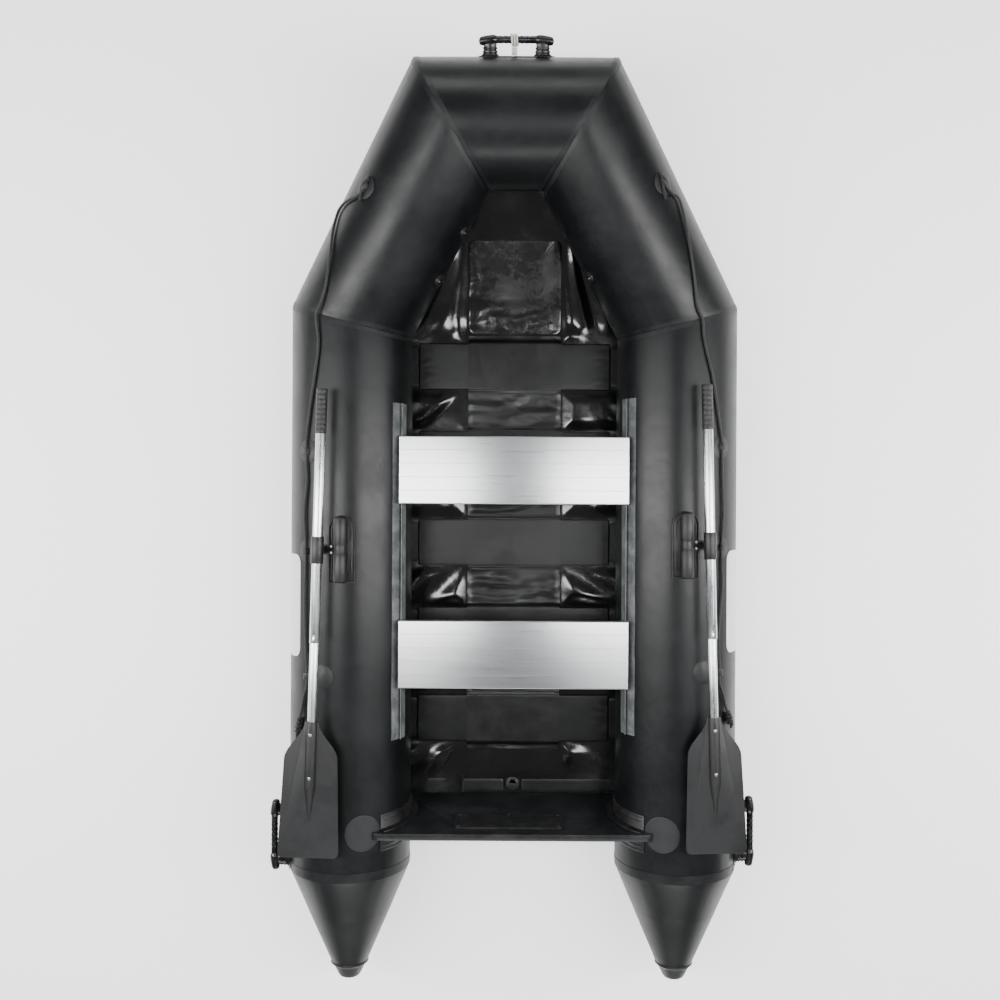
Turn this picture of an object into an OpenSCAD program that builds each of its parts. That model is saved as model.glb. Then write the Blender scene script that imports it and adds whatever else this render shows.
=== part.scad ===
// Rigid-transom inflatable dinghy: air tubes, slatted floor, sliding benches and oars.
// Millimetres. X to starboard, Y to the bow, Z up. Origin under the middle, on the ground.

/* [Hull] */
// Overall length, from the tail tips to the front of the bow handle
overall_len = 3118; // [2600:1:3750]
// Beam over the two side tubes
beam = 1526; // [1300:1:1850]
// Diameter of the air tubes
tube_d = 410; // [345:1:490]
// How far the front tube stands above the side tubes
bow_rise = 200; // [160:1:240]
// Length of the slanted bow tubes, measured along the boat
bow_len = 607; // [510:1:730]
// Length of the straight middle of the front tube, axis to axis
front_len = 413; // [345:1:500]
// Length of a tail cone with its cap
cone_len = 390; // [325:1:470]
// Radius of the tail cap's blunt end
tail_tip_r = 38; // [30:1:46]
// Length of the moulded tail cap
tail_cap_len = 58; // [48:1:70]
// Thickness of the tube fabric
skin_t = 1.2; // [0.9:0.1:1.6]
// Width of the tape over a tube seam
tape_w = 30; // [24:1:40]
// Thickness of the tape over a tube seam
tape_t = 1; // [0.8:0.1:1.5]

/* [Floor] */
// Height of the bottom skin above the ground
floor_z = 30; // [25:1:36]
// Thickness of the bottom skin
floor_t = 1.2; // [0.9:0.1:2]
// Number of floor slats
slat_count = 5; // [3:1:6]
// Width of a slat, along the boat
slat_w = 166; // [138:1:200]
// Length of a slat, across the boat
slat_len = 690; // [575:1:760]
// Thickness of a slat
slat_t = 13; // [10:0.5:16]
// Distance from one slat to the next
slat_pitch = 317.5; // [264:0.5:381]
// Distance from the transom's foot to the middle of the last slat
slat_start = 271; // [225:1:325]
// Width of the strap over the slats
strap_w = 334; // [278:1:400]
// Thickness of the strap
strap_t = 1.2; // [0.9:0.1:1.6]

/* [Transom] */
// Distance from the tail tips to the transom's foot
transom_in = 582; // [485:1:700]
// Thickness of the transom board
board_t = 22; // [18:1:27]
// Rake of the transom board, in degrees
rake = 5; // [3:0.5:7]
// How far the board's top lies below the top of the tubes
board_drop = 10; // [5:1:20]
// How far the board's top corners reach over the tubes, past their inner edge
board_over = 112; // [90:1:130]
// Width of a motor plate
plate_w = 357; // [298:1:428]
// Height of a motor plate
plate_h = 117; // [98:1:140]
// Thickness of a motor plate
plate_t = 6; // [5:0.5:8]
// Distance of the plate's top edge below the board's top edge
plate_drop = 42; // [35:1:50]
// Radius of the round boss on the plate's lower edge
boss_r = 44; // [36:1:52]

/* [Benches] */
// Width of a bench, along the boat
bench_w = 225; // [188:1:270]
// Thickness of a bench
bench_t = 25; // [20:1:30]
// Place of the front bench's middle
front_bench_y = 180; // [150:1:200]
// Place of the rear bench's middle
rear_bench_y = -432; // [-450:1:-400]
// Length of the seat rails
rail_len = 1123; // [1100:1:1300]
// Place of the seat rails' middle
rail_y = -148; // [-160:1:-120]
// Angle of a rail's standing fin round the tube, from the top
fin_a = 62; // [58:1:66]
// Height of a rail's standing fin
fin_h = 17; // [14:0.5:20]
// Thickness of a rail's standing fin
fin_t = 4; // [3:0.5:5]
// Clearance between a bench shoe and a rail's fin
shoe_gap = 0.5; // [0.3:0.1:1]

/* [Oarlocks] */
// Place of the oarlocks along the boat
lock_y = -71; // [-90:1:-50]
// Radius of the oarlock's barrels
barrel_r = 22.5; // [19:0.5:27]
// Length of one barrel
barrel_len = 80; // [67:1:96]
// Length of the turning block between the barrels
block_len = 33; // [28:1:40]
// Radius of the axle through the barrels
axle_r = 6; // [5:0.5:7.5]
// Reach of the block's arm, from the axle to the pivot
arm_len = 57; // [54:0.5:64]
// Thickness of the block's arm
arm_t = 10; // [8:0.5:12]
// Outward lean of the pivot, in degrees
pivot_lean = 22; // [18:1:24]
// Radius of the collar's pivot stem
stem_r = 8; // [7:0.5:9]
// Height of the oar's middle above the arm
oar_h = 46; // [45:0.5:52]
// Radial clearance of a running fit
run_gap = 0.05; // [0.02:0.01:0.1]

/* [Oars] */
// Length of an oar forward of its pivot
oar_fore = 515; // [430:1:618]
// Length of an oar aft of its pivot
oar_aft = 988; // [880:1:1180]
// Radius of the oar's upper tube
shaft_r = 16; // [14:0.5:17.5]
// Wall of the oar's tubes
shaft_t = 1.6; // [1.2:0.1:2]
// Radius of the grip
grip_r = 18; // [17:0.5:20]
// Length of the grip
grip_len = 143; // [120:1:172]
// Length of the collar
collar_len = 86; // [72:1:100]
// Wall of the collar
collar_t = 4; // [3:0.5:5]
// Where the lower tube leaves the upper tube, aft of the pivot
step_at = 297; // [250:1:356]
// Length of the blade with its neck
blade_len = 439; // [366:1:500]
// Width of the blade near its end
blade_w = 195; // [163:1:210]
// Thickness of the blade
blade_t = 5; // [4:0.5:7]
// Outward turn of a stowed oar, in degrees
stow_a = 1.7; // [1:0.1:2.5]
// Radius of the snap button
button_r = 3.5; // [3:0.25:4.5]

/* [Fittings] */
// Length of a carrying handle
handle_len = 240; // [200:1:288]
// Clear width for the fingers in a handle
handle_gap = 122; // [102:1:146]
// Height of a handle's bar above the tube, to its middle
bar_h = 50; // [42:1:60]
// Radius of a handle's bar
bar_r = 12; // [10:0.5:14]
// Angle of the bow handle above the front of the tube
bow_handle_a = 20; // [15:1:25]
// Angle of a stern handle round the tube, from the top
stern_handle_a = 78; // [72:1:84]
// Place of the stern handles along the boat
stern_handle_y = -1048; // [-1060:1:-1030]
// Diameter of the grab lines
rope_d = 9; // [7.5:0.5:11]
// Height of a grab line's middle above the tube
rope_h = 6.5; // [6.5:0.5:9]
// Radius of an air valve's flange
valve_r = 25; // [23:0.5:30]
// Radius of the drain plug
drain_r = 14; // [12:0.5:17]
// How far the starboard fittings sit forward of the port ones, halved
stagger = 10; // [0:1:12]

/* [Hidden] */
$fn = 96;

port = -1;
starboard = 1;
far = 6000;          // larger than the boat, for cutting
glue = 0.1;          // bond line under what is stuck to a tube
soft_gap = 0.3;      // clearance beside fabric sheets
tube_r = tube_d / 2;
axis_x = beam / 2 - tube_r;
tip_y = -overall_len / 2;
seam_y = tip_y + cone_len;
knob_r = bar_r + 3;
lash_d = 6;
front_y = overall_len / 2 - (tube_r + bar_h) * cos(bow_handle_a) - bar_r - soft_gap - lash_d;
shoulder_y = front_y - bow_len;
transom_y = tip_y + transom_in;
drain_y = transom_y + 33;

// The tube line: tail, shoulder and front corner of the starboard side
tail = [axis_x, seam_y, tube_r];
shoulder = [axis_x, shoulder_y, tube_r];
corner = [front_len / 2, front_y, tube_r + bow_rise];
bow_slope = atan(bow_rise / bow_len);
slope_len = norm([bow_len, bow_rise]);
bow_yaw = atan((axis_x - front_len / 2) / slope_len);
bow_dir = (corner - shoulder) / norm(corner - shoulder);
bow_tube_len = norm(corner - shoulder);
side_dir = [0, 1, 0];
front_dir = [-1, 0, 0];

// Local directions round a bow tube: up and out
bow_up = [0, -sin(bow_slope), cos(bow_slope)];
bow_out = [cos(bow_yaw), sin(bow_yaw) * cos(bow_slope), sin(bow_yaw) * sin(bow_slope)];

module on_side(s) { if (s < 0) mirror([1, 0, 0]) children(); else children(); }

// A fitting stuck to a side tube sits a little further forward to starboard
module fitted(s) { translate([0, s * stagger, 0]) on_side(s) children(); }

module aim(v) { rotate([0, acos(v.z / norm(v)), atan2(v.y, v.x)]) children(); }

module rod(a, b, r, extra = 0) {
    translate(a) aim(b - a) translate([0, 0, -extra]) cylinder(r = r, h = norm(b - a) + 2 * extra);
}

// The half of space behind a plane through p with normal n
module behind(p, n) { translate(p) aim(n) translate([-far / 2, -far / 2, -far]) cube(far); }

module along_y(r, l) { rotate([90, 0, 0]) cylinder(r = r, h = l, center = true); }

// Frame on a tube's surface: u mm forward of the shoulder, a degrees outward from the top.
// Z points out of the tube and Y runs along it.
module on_tube(u, a) {
    translate(shoulder)
        rotate([u > 0 ? bow_slope : 0, 0, 0]) rotate([0, 0, u > 0 ? bow_yaw : 0])
            translate([0, u, 0]) rotate([0, a, 0]) translate([0, 0, tube_r]) children();
}

// Solid tube run of one radius, cut on the mitre planes at both ends
module run(a, b, r, na, nb) {
    intersection() {
        rod(a, b, r, tube_d);
        behind(b, nb);
        behind(a, -na);
    }
}

module tube_run(a, b, na, nb) {
    difference() {
        run(a, b, tube_r, na, nb);
        rod(a, b, tube_r - skin_t, tube_d + 1);
    }
}

// Air valves: [distance forward of the shoulder, angle from the top, side]
valve_a = -70;
bow_valve_u = 456;
port_valve_u = 277;
starboard_valve_u = 292;
valve_bore_r = valve_r - 8;
valve_barrel_r = valve_r - 5;
valve_depth = 22;
module valve_hole(u) { on_tube(u, valve_a) translate([0, 0, -60]) cylinder(r = valve_barrel_r + glue, h = 80); }

side_mitre = side_dir + bow_dir;
front_mitre = bow_dir + front_dir;

module side_tube(s) { color("#26282b") on_side(s) tube_run(tail, shoulder, side_dir, side_mitre); }

module bow_tube(s) {
    color("#26282b") on_side(s) difference() {
        tube_run(shoulder, corner, side_mitre, front_mitre);
        if (s == port) { valve_hole(bow_valve_u); valve_hole(port_valve_u); }
        if (s == starboard) valve_hole(starboard_valve_u);
    }
}

module front_tube() {
    other = [-corner.x, corner.y, corner.z];
    back_mitre = [front_mitre.x, -front_mitre.y, -front_mitre.z];
    color("#26282b") tube_run(corner, other, front_mitre, back_mitre);
}

// Tail cones, blunt moulded caps over their tips
cap_base_r = tail_tip_r + (tube_r - tail_tip_r) * tail_cap_len / cone_len;
cap_round = 24;
cap_wall = 4;
module tail_frame(s) { on_side(s) translate(tail) rotate([90, 0, 0]) children(); }

module tail_cone(s) {
    color("#26282b") tail_frame(s) rotate_extrude()
        polygon([[tube_r - skin_t, 0], [tube_r, 0], [cap_base_r, cone_len - tail_cap_len],
            [cap_base_r - skin_t, cone_len - tail_cap_len]]);
}

module tail_caps() {
    color("#1c1d1f") for (s = [port, starboard]) tail_frame(s) rotate_extrude()
        polygon([[cap_base_r - cap_wall, cone_len - tail_cap_len], [cap_base_r, cone_len - tail_cap_len],
            [tail_tip_r, cone_len - cap_round / 2], [tail_tip_r - cap_round / 2, cone_len],
            [0, cone_len], [0, cone_len - cap_wall], [tail_tip_r - cap_wall, cone_len - cap_round / 2]]);
}

// Tapes over the mitred seams and round the cones' bases
module mitre_tape(p, d1, d2) {
    n = (d1 + d2) / norm(d1 + d2);
    for (side = [[d1, -1], [d2, 1]]) difference() {
        intersection() {
            translate(p) aim(side[0]) cylinder(r = tube_r + glue + tape_t, h = 3 * tube_d, center = true);
            behind(p + side[1] * n * glue, side[1] < 0 ? n : -n);
            behind(p + side[1] * n * tape_w / 2, side[1] < 0 ? -n : n);
        }
        translate(p) aim(side[0]) cylinder(r = tube_r + glue, h = 4 * tube_d, center = true);
    }
}

// The tapes end above the bottom skin
module seam_tapes() {
    color("#2c2e31") for (s = [port, starboard]) on_side(s) difference() {
        union() {
            mitre_tape(shoulder, side_dir, bow_dir);
            mitre_tape(corner, bow_dir, front_dir);
            translate(tail) rotate([-90, 0, 0]) rotate_extrude()
                translate([tube_r + glue, 0]) square([tape_t, tape_w]);
        }
        translate([-far / 2, -far / 2, skin_top + soft_gap - far]) cube(far);
        on_bow_panel() translate([-far / 2, 0, floor_t + soft_gap - far]) cube(far);
    }
}

// Dished walls that part the bow chamber from the side chambers
baffle_u = 372;
baffle_r = tube_r - skin_t - glue;
baffle_dish = 60;
module air_baffles() {
    color("#3a3c3f") for (s = [port, starboard]) on_side(s)
        translate(shoulder + bow_dir * baffle_u) aim(bow_dir) rotate_extrude()
            polygon([[baffle_r, 0], [baffle_r, skin_t], [0, baffle_dish + skin_t], [0, baffle_dish]]);
}

// Bottom skin: a flat panel under the cockpit and a sloping one under the bow
skin_top = floor_z + floor_t;
skin_inset = sqrt(pow(tube_r, 2) - pow(tube_r - skin_top, 2)) + soft_gap;
skin_half = axis_x - skin_inset;
skin_turn = (tube_r - floor_z) * tan(bow_slope / 2);
skin_aft = 40;

function bow_half(v) = axis_x - v * tan(bow_yaw) - skin_inset / cos(bow_yaw);

// Frame on the sloping bow panel: X across, Y up the slope from the shoulder, Z off its underside
module on_bow_panel() {
    translate([0, shoulder_y, tube_r]) rotate([bow_slope, 0, 0]) translate([0, 0, floor_z - tube_r]) children();
}

module bottom_skin() {
    v_end = slope_len - skin_inset;
    v_start = -skin_turn;
    color("#151617") difference() {
        union() {
            translate([-skin_half, transom_y - skin_aft, floor_z])
                cube([2 * skin_half, shoulder_y + skin_turn - transom_y + skin_aft, floor_t]);
            on_bow_panel() linear_extrude(floor_t)
                polygon([[-bow_half(v_start), v_start], [bow_half(v_start), v_start],
                    [bow_half(v_end), v_end], [-bow_half(v_end), v_end]]);
        }
        translate([0, drain_y, 0]) cylinder(r = drain_r + 1, h = tube_d);
    }
}

// Slats across the floor and the fabric strap that holds them down
function slat_y(i) = transom_y + slat_start + i * slat_pitch;
slat_top = skin_top + slat_t;

module floor_slats() {
    color("#2b2d2f") for (i = [0 : slat_count - 1])
        translate([-slat_len / 2, slat_y(i) - slat_w / 2, skin_top]) cube([slat_len, slat_w, slat_t]);
}

strap_hem = 28;
module floor_strap() {
    strap_aft = slat_y(0) - slat_w / 2 - strap_hem;
    strap_fore = slat_y(slat_count - 1) + slat_w / 2 + strap_hem;
    wrap = slat_w + 2 * strap_t + 2 * soft_gap;
    color("#232527") difference() {
        union() {
            translate([-strap_w / 2, strap_aft, skin_top]) cube([strap_w, strap_fore - strap_aft, strap_t]);
            for (i = [0 : slat_count - 1]) translate([-strap_w / 2, slat_y(i) - wrap / 2, skin_top])
                cube([strap_w, wrap, slat_t + soft_gap + strap_t]);
        }
        for (i = [0 : slat_count - 1])
            translate([-strap_w, slat_y(i) - slat_w / 2 - soft_gap, floor_z])
                cube([2 * strap_w, slat_w + 2 * soft_gap, floor_t + slat_t + soft_gap]);
    }
}

// Reinforcing patches: bow panel, transom ends, handles and the strip at the transom's foot
patch_t = 1.4;
bow_patch = [300, 250];
bow_patch_v = 30;
end_patch_r = 59;
end_patch_a = 20;
drain_flange_r = drain_r + 10;
foot_strip_w = 45;
module tube_patch(t) {
    intersection() {
        translate([0, 0, -tube_r]) difference() {
            along_y(tube_r + glue + t, tube_d);
            along_y(tube_r + glue, 2 * tube_d);
        }
        translate([0, 0, -tube_r / 2]) children();
    }
}
module round_patch(r, t) { tube_patch(t) cylinder(r = r, h = tube_r); }

module patches() {
    color("#33373c") {
        on_bow_panel() translate([-bow_patch.x / 2, bow_patch_v, floor_t]) cube([bow_patch.x, bow_patch.y, patch_t]);
        difference() {
            translate([-skin_half + 30, transom_y + 4, skin_top]) cube([2 * skin_half - 60, foot_strip_w, patch_t]);
            translate([0, drain_y, 0]) cylinder(r = drain_flange_r + soft_gap, h = tube_d);
        }
        for (s = [port, starboard]) on_side(s)
            on_tube(transom_top_y - shoulder_y, -end_patch_a) round_patch(end_patch_r, patch_t);
    }
}

// Seat rails: a glued strip on each side tube with a standing fin
rail_strip_t = 2;
rail_from = 49;
rail_to = 70;
fin_r = tube_r + glue + rail_strip_t;
fin_x = axis_x - fin_r * sin(fin_a);
fin_top = tube_r + fin_r * cos(fin_a) + fin_h;

// Wedge that keeps the stretch of a tube's section from angle a to angle b
module wedge(r, a, b) {
    polygon([[0, 0], for (i = [0 : 4]) let (t = a + (b - a) * i / 4) [r * sin(t), r * cos(t)]]);
}

module seat_rails() {
    reach = tube_r + 60;
    color("#8b8d8f") for (s = [port, starboard]) fitted(s) {
        difference() {
            union() {
                translate([axis_x, rail_y, tube_r]) rotate([90, 0, 0])
                    linear_extrude(rail_len, center = true) mirror([1, 0]) intersection() {
                        difference() { circle(fin_r); circle(tube_r + glue); }
                        wedge(reach, rail_from, rail_to);
                    }
                translate([fin_x - fin_t / 2, rail_y - rail_len / 2, fin_top - fin_h - 8])
                    cube([fin_t, rail_len, fin_h + 8]);
            }
            translate([axis_x, rail_y, tube_r]) along_y(tube_r + glue, rail_len + 2);
        }
    }
}

// Transom board, raked aft, in its own frame: Y out of its front face, Z up its height
foot_z = skin_top + board_t * sin(rake) + soft_gap;
board_h = (tube_d - board_drop - foot_z) / cos(rake);
board_half = axis_x - tube_r + board_over;
transom_top_y = transom_y - board_h * sin(rake);
holder_t = 3;
holder_band = 50;
holder_fin_t = 4;
holder_fin_h = 24;
holder_from = 37;
holder_to = 140;
module on_board() { translate([0, transom_y, foot_z]) rotate([rake, 0, 0]) children(); }

// Flat outline with round corners, centred
module soft_rect(w, h, r) {
    square([w - 2 * r, h], center = true);
    square([w, h - 2 * r], center = true);
    for (x = [-1, 1], y = [-1, 1]) translate([x * (w / 2 - r), y * (h / 2 - r)]) circle(r);
}

plate_x = -12;
screw_r = 2.5;
screw_in = 12;
plate_mid_z = board_h - plate_drop - plate_h / 2;
screw_spots = [for (x = [-1, 1], z = [-1, 1]) [x * (plate_w / 2 - screw_in), z * (plate_h / 2 - screw_in)],
    [0, -plate_h / 2 + screw_in / 2]];
module at_screws() {
    for (p = screw_spots) on_board() translate([plate_x + p.x, 0, plate_mid_z + p.y]) children();
}
module screw_holes() { at_screws() along_y(screw_r + run_gap, 4 * board_t); }

module transom_board() {
    corner_r = 30;
    color("#3c4046") difference() {
        on_board() translate([0, 0, board_h / 2]) rotate([90, 0, 0]) linear_extrude(board_t)
            intersection() {
                translate([0, -corner_r]) soft_rect(2 * board_half, board_h + 2 * corner_r, corner_r);
                square([3 * board_half, board_h], center = true);
            }
        for (x = [-1, 1]) translate([x * axis_x, transom_y, tube_r])
            along_y(tube_r + glue + holder_t + soft_gap, tube_d);
        screw_holes();
    }
}

module board_slab(front, back) {
    on_board() translate([-far / 2, -back, -far / 2]) cube([far, back - front, far]);
}

module transom_holders() {
    grip = soft_gap;
    color("#1d1e20") for (s = [port, starboard]) on_side(s) intersection() {
        translate([axis_x, transom_y, tube_r]) rotate([90, 0, 0]) linear_extrude(tube_d, center = true)
            mirror([1, 0]) wedge(tube_d, holder_from, holder_to);
        difference() {
            union() {
                intersection() {
                    translate([axis_x, transom_y, tube_r]) along_y(tube_r + glue + holder_t, tube_d);
                    board_slab(-holder_band, board_t + holder_band);
                }
                intersection() {
                    translate([axis_x, transom_y, tube_r]) along_y(tube_r + holder_t + holder_fin_h, tube_d);
                    union() {
                        board_slab(-grip - holder_fin_t, -grip);
                        board_slab(board_t + grip, board_t + grip + holder_fin_t);
                    }
                }
            }
            translate([axis_x, transom_y, tube_r]) along_y(tube_r + glue, 2 * tube_d);
            translate([-far / 2, -far / 2, -far + skin_top + patch_t + soft_gap]) cube(far);
        }
    }
}

head_r = 5;
head_h = 2.5;
head_sink = 0.3;
module screw_pockets(face) {
    at_screws() translate([0, face, 0]) along_y(head_r + run_gap, 2 * (head_h + head_sink));
}

module motor_plate_outline() {
    soft_rect(plate_w, plate_h, 12);
    translate([0, -plate_h / 2]) circle(boss_r);
}

module inner_motor_plate() {
    color("#232527") difference() {
        on_board() translate([plate_x, plate_t, plate_mid_z]) rotate([90, 0, 0])
            linear_extrude(plate_t) motor_plate_outline();
        screw_holes();
        screw_pockets(plate_t);
    }
}

module outer_motor_plate() {
    color("#232527") difference() {
        on_board() translate([plate_x, -board_t, plate_mid_z]) rotate([90, 0, 0])
            linear_extrude(plate_t) soft_rect(plate_w, plate_h, 12);
        screw_holes();
        screw_pockets(-board_t - plate_t);
    }
}

// The screws' heads lie sunk in the plates
module motor_plate_screws() {
    inner = plate_t - head_sink;
    outer = -board_t - plate_t + head_sink;
    color("silver") at_screws() {
        translate([0, inner - head_h / 2, 0]) along_y(head_r, head_h);
        translate([0, (inner + outer) / 2, 0]) along_y(screw_r, inner - outer);
        translate([0, outer + head_h / 2, 0]) along_y(head_r, head_h);
    }
}

// Drain: a flanged seat in the bottom skin and its turning plug
drain_h = 7;
module drain_housing() {
    color("#1b1c1e") translate([0, drain_y, 0]) difference() {
        translate([0, 0, skin_top]) cylinder(r = drain_flange_r, h = drain_h);
        cylinder(r = drain_r + run_gap, h = tube_d);
    }
}

module drain_plug() {
    head = 3;
    color("#151617") translate([0, drain_y, 0]) {
        translate([0, 0, floor_z]) cylinder(r = drain_r, h = floor_t + drain_h + soft_gap);
        translate([0, 0, skin_top + drain_h + soft_gap]) {
            cylinder(r = drain_r + 4, h = head);
            translate([-drain_r, -3, 0]) cube([2 * drain_r, 6, 3 * head]);
        }
    }
}

// Benches: a hollow aluminium plank on two shoes that straddle the rails' fins
shoe_wall = 3;
shoe_top = 2.2;
shoe_leg = fin_h - 10;
bench_z = fin_top + soft_gap + shoe_top;
bench_half = fin_x + fin_t / 2 + shoe_gap + shoe_wall;
bench_wall = 2.5;
bench_cells = 5;
module bench(y) {
    cell = (bench_w - bench_wall) / bench_cells;
    color("#c9ccce") translate([0, y, bench_z + bench_t / 2]) rotate([90, 0, 90])
        linear_extrude(2 * bench_half, center = true) difference() {
            soft_rect(bench_w, bench_t, 4);
            for (i = [0 : bench_cells - 1])
                translate([-bench_w / 2 + bench_wall + i * cell, -bench_t / 2 + bench_wall])
                    square([cell - bench_wall, bench_t - 2 * bench_wall]);
        }
}
module bench_shoes(y) {
    color("#303234") for (s = [port, starboard]) on_side(s) translate([fin_x, y, bench_z]) difference() {
        width = fin_t + 2 * shoe_gap + 2 * shoe_wall;
        translate([-width / 2, -bench_w / 2 + 6, -shoe_top - shoe_leg])
            cube([width, bench_w - 12, shoe_top + shoe_leg]);
        translate([-fin_t / 2 - shoe_gap, -bench_w, -shoe_top - 2 * shoe_leg])
            cube([fin_t + 2 * shoe_gap, 2 * bench_w, 2 * shoe_leg]);
    }
}

// Carrying handle on a tube that runs along its Y, standing out along Z
leg_w = 40;
leg_t = 22;
foot_t = 4;
module handle() {
    leg_y = handle_gap / 2 + leg_w / 2;
    color("#161718") {
        for (y = [-leg_y, leg_y]) {
            translate([0, y, 0]) intersection() {
                translate([0, 0, -tube_r]) difference() {
                    along_y(tube_r + glue + foot_t, 2 * leg_w + 10);
                    along_y(tube_r + glue, 3 * leg_w);
                }
                translate([0, 0, -tube_r / 4]) linear_extrude(tube_r) soft_rect(66, leg_w + 26, 16);
            }
            translate([0, y, foot_t / 2]) linear_extrude(bar_h - foot_t / 2)
                soft_rect(leg_t, leg_w, leg_t / 2 - 1);
        }
        translate([0, 0, bar_h]) {
            along_y(bar_r, handle_len - 2 * knob_r);
            for (y = [-1, 1]) translate([0, y * (handle_len / 2 - knob_r), 0]) sphere(knob_r);
        }
    }
}

module on_bow_handle() {
    translate([0, front_y, corner.z]) rotate([bow_handle_a - 90, 0, 0]) rotate([0, 0, -90])
        translate([0, 0, tube_r]) children();
}
module bow_handle() { on_bow_handle() handle(); }
// A stern handle's aft foot lies over the tail tape
module stern_handle(s) {
    spare = 10;
    difference() {
        fitted(s) on_tube(stern_handle_y - shoulder_y, stern_handle_a) handle();
        on_side(s) translate(tail - [0, spare, 0]) rotate([-90, 0, 0])
            cylinder(r = tube_r + 2 * glue + tape_t, h = tape_w + spare + soft_gap);
    }
}

// Three open turns of thin white cord round the bow handle's bar, and three strands to its foot
lash_y = -6;
lash_turns = 3;
lash_pitch = 10;
module bow_lashing() {
    inner = bar_r + soft_gap;
    strands = lash_turns * lash_d;
    wound = lash_turns * lash_pitch;
    color("#e8e6e0") on_bow_handle() translate([0, lash_y, bar_h]) {
        rotate([90, 0, 0]) rotate_extrude()
            translate([inner, -wound / 2]) square([lash_d, wound]);
        translate([-inner - lash_d, -strands / 2, 2 * foot_t - bar_h])
            cube([lash_d, strands, bar_h - 2 * foot_t - 2]);
    }
}

// Oarlocks: a moulded rubber base with two barrels, an axle and a turning block
pad_t = 6;
pad_w = 88;
pad_len = 220;
lock_lift = 5.5;
axle_z = tube_d + pad_t + lock_lift + barrel_r;
barrel_off = block_len / 2 + barrel_len / 2;
hub_r = 20;
arm_w = 32;
module at_axle(s) { fitted(s) translate([axis_x, lock_y, axle_z]) children(); }
module at_pivot(s) { at_axle(s) rotate([0, pivot_lean, 0]) translate([arm_len, 0, 0]) children(); }
module at_oar(s) {
    at_pivot(s) rotate([0, 0, stow_a]) translate([0, 0, oar_h]) rotate([0, -pivot_lean, 0]) children();
}

module oarlock_base(s) {
    color("#1a1b1c") difference() {
        union() {
            fitted(s) translate([axis_x, lock_y, 0]) intersection() {
                translate([0, 0, tube_r]) difference() {
                    along_y(tube_r + glue + pad_t, 2 * pad_len);
                    along_y(tube_r + glue, 3 * pad_len);
                }
                translate([0, 0, tube_r]) linear_extrude(tube_d) {
                    translate([0, pad_len / 2 - pad_w / 2]) circle(pad_w / 2);
                    translate([-pad_w / 2, -pad_len / 2]) square([pad_w, pad_len - pad_w / 2]);
                }
            }
            at_axle(s) for (y = [-barrel_off, barrel_off]) translate([0, y, 0]) {
                along_y(barrel_r, barrel_len);
                translate([-0.75 * barrel_r, -barrel_len / 2, tube_d + pad_t / 2 - axle_z])
                    cube([1.5 * barrel_r, barrel_len, axle_z - tube_d - pad_t / 2]);
            }
        }
        at_axle(s) along_y(axle_r + run_gap, 2 * pad_len);
    }
}

module oarlock_axles() {
    head_t = 4;
    span = block_len + 2 * barrel_len;
    color("silver") for (s = [port, starboard]) at_axle(s) {
        along_y(axle_r, span + 1);
        for (y = [-1, 1]) translate([0, y * (span + head_t + 2 * glue) / 2, 0]) along_y(axle_r + 4, head_t);
    }
}

module block(s) {
    color("#202123") at_axle(s) difference() {
        union() {
            along_y(hub_r, block_len - 2 * soft_gap);
            rotate([0, pivot_lean, 0]) translate([0, 0, -arm_t / 2]) {
                translate([0, -arm_w / 2, 0]) cube([arm_len, arm_w, arm_t]);
                translate([arm_len, 0, 0]) cylinder(d = arm_w, h = arm_t);
            }
        }
        along_y(axle_r + run_gap, pad_len);
        rotate([0, pivot_lean, 0]) translate([arm_len, 0, -barrel_r]) cylinder(r = stem_r + run_gap, h = 2 * barrel_r);
    }
}

// Oar collar with the stem that turns in the block's arm
stem_out = arm_t / 2 + 5;
module collar(s) {
    color("#191a1b") at_pivot(s) rotate([0, 0, stow_a]) difference() {
        union() {
            translate([0, 0, oar_h]) along_y(shaft_r + collar_t, collar_len);
            translate([0, 0, -stem_out]) cylinder(r = stem_r, h = stem_out + oar_h - shaft_r);
            translate([0, 0, arm_t / 2 + soft_gap]) cylinder(r = stem_r + 5, h = 4);
            translate([0, 0, -stem_out]) cylinder(r = stem_r + 3, h = stem_out - arm_t / 2 - soft_gap);
        }
        translate([0, 0, oar_h]) along_y(shaft_r + run_gap, 2 * collar_len);
    }
}

// Oars, in a frame with Y forward along the shaft and Z up
sleeve_gap = 0.2;
lower_r = shaft_r - shaft_t - sleeve_gap;
tube_lap = 60;
grip_end_t = 4;
blade_start = oar_aft - blade_len;
socket_r = lower_r + 4;
socket_len = 211;
socket_nose = 108;
shaft_in_blade = 200;
rivet_r = 3;
rivet_at = [41, 180];
button_at = step_at - 22;

module pipe(r, t, from, to) {
    translate([0, (from + to) / 2, 0]) difference() {
        along_y(r, abs(from - to));
        along_y(r - t, abs(from - to) + 2);
    }
}
module button_hole() { translate([0, -button_at, 0]) cylinder(r = button_r + run_gap, h = 3 * shaft_r); }
module at_rivets() { for (d = rivet_at) translate([0, -blade_start - d, 0]) children(); }
module rivet_holes() { at_rivets() cylinder(r = rivet_r + run_gap, h = 4 * shaft_r, center = true); }

module grip(s) {
    ring = grip_len / 9;
    color("#1e1f20") at_oar(s) difference() {
        union() {
            translate([0, oar_fore - grip_len / 2, 0]) along_y(grip_r - 1, grip_len);
            for (i = [0 : 8]) translate([0, oar_fore - ring * (i + 0.5), 0]) along_y(grip_r, ring * 0.6);
        }
        translate([0, oar_fore - grip_end_t - grip_len / 2, 0]) along_y(shaft_r + glue, grip_len);
    }
}

module upper_shaft(s) {
    color("#c4c7ca") at_oar(s) difference() {
        pipe(shaft_r, shaft_t, oar_fore - grip_end_t - 1, -step_at);
        button_hole();
    }
}

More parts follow.
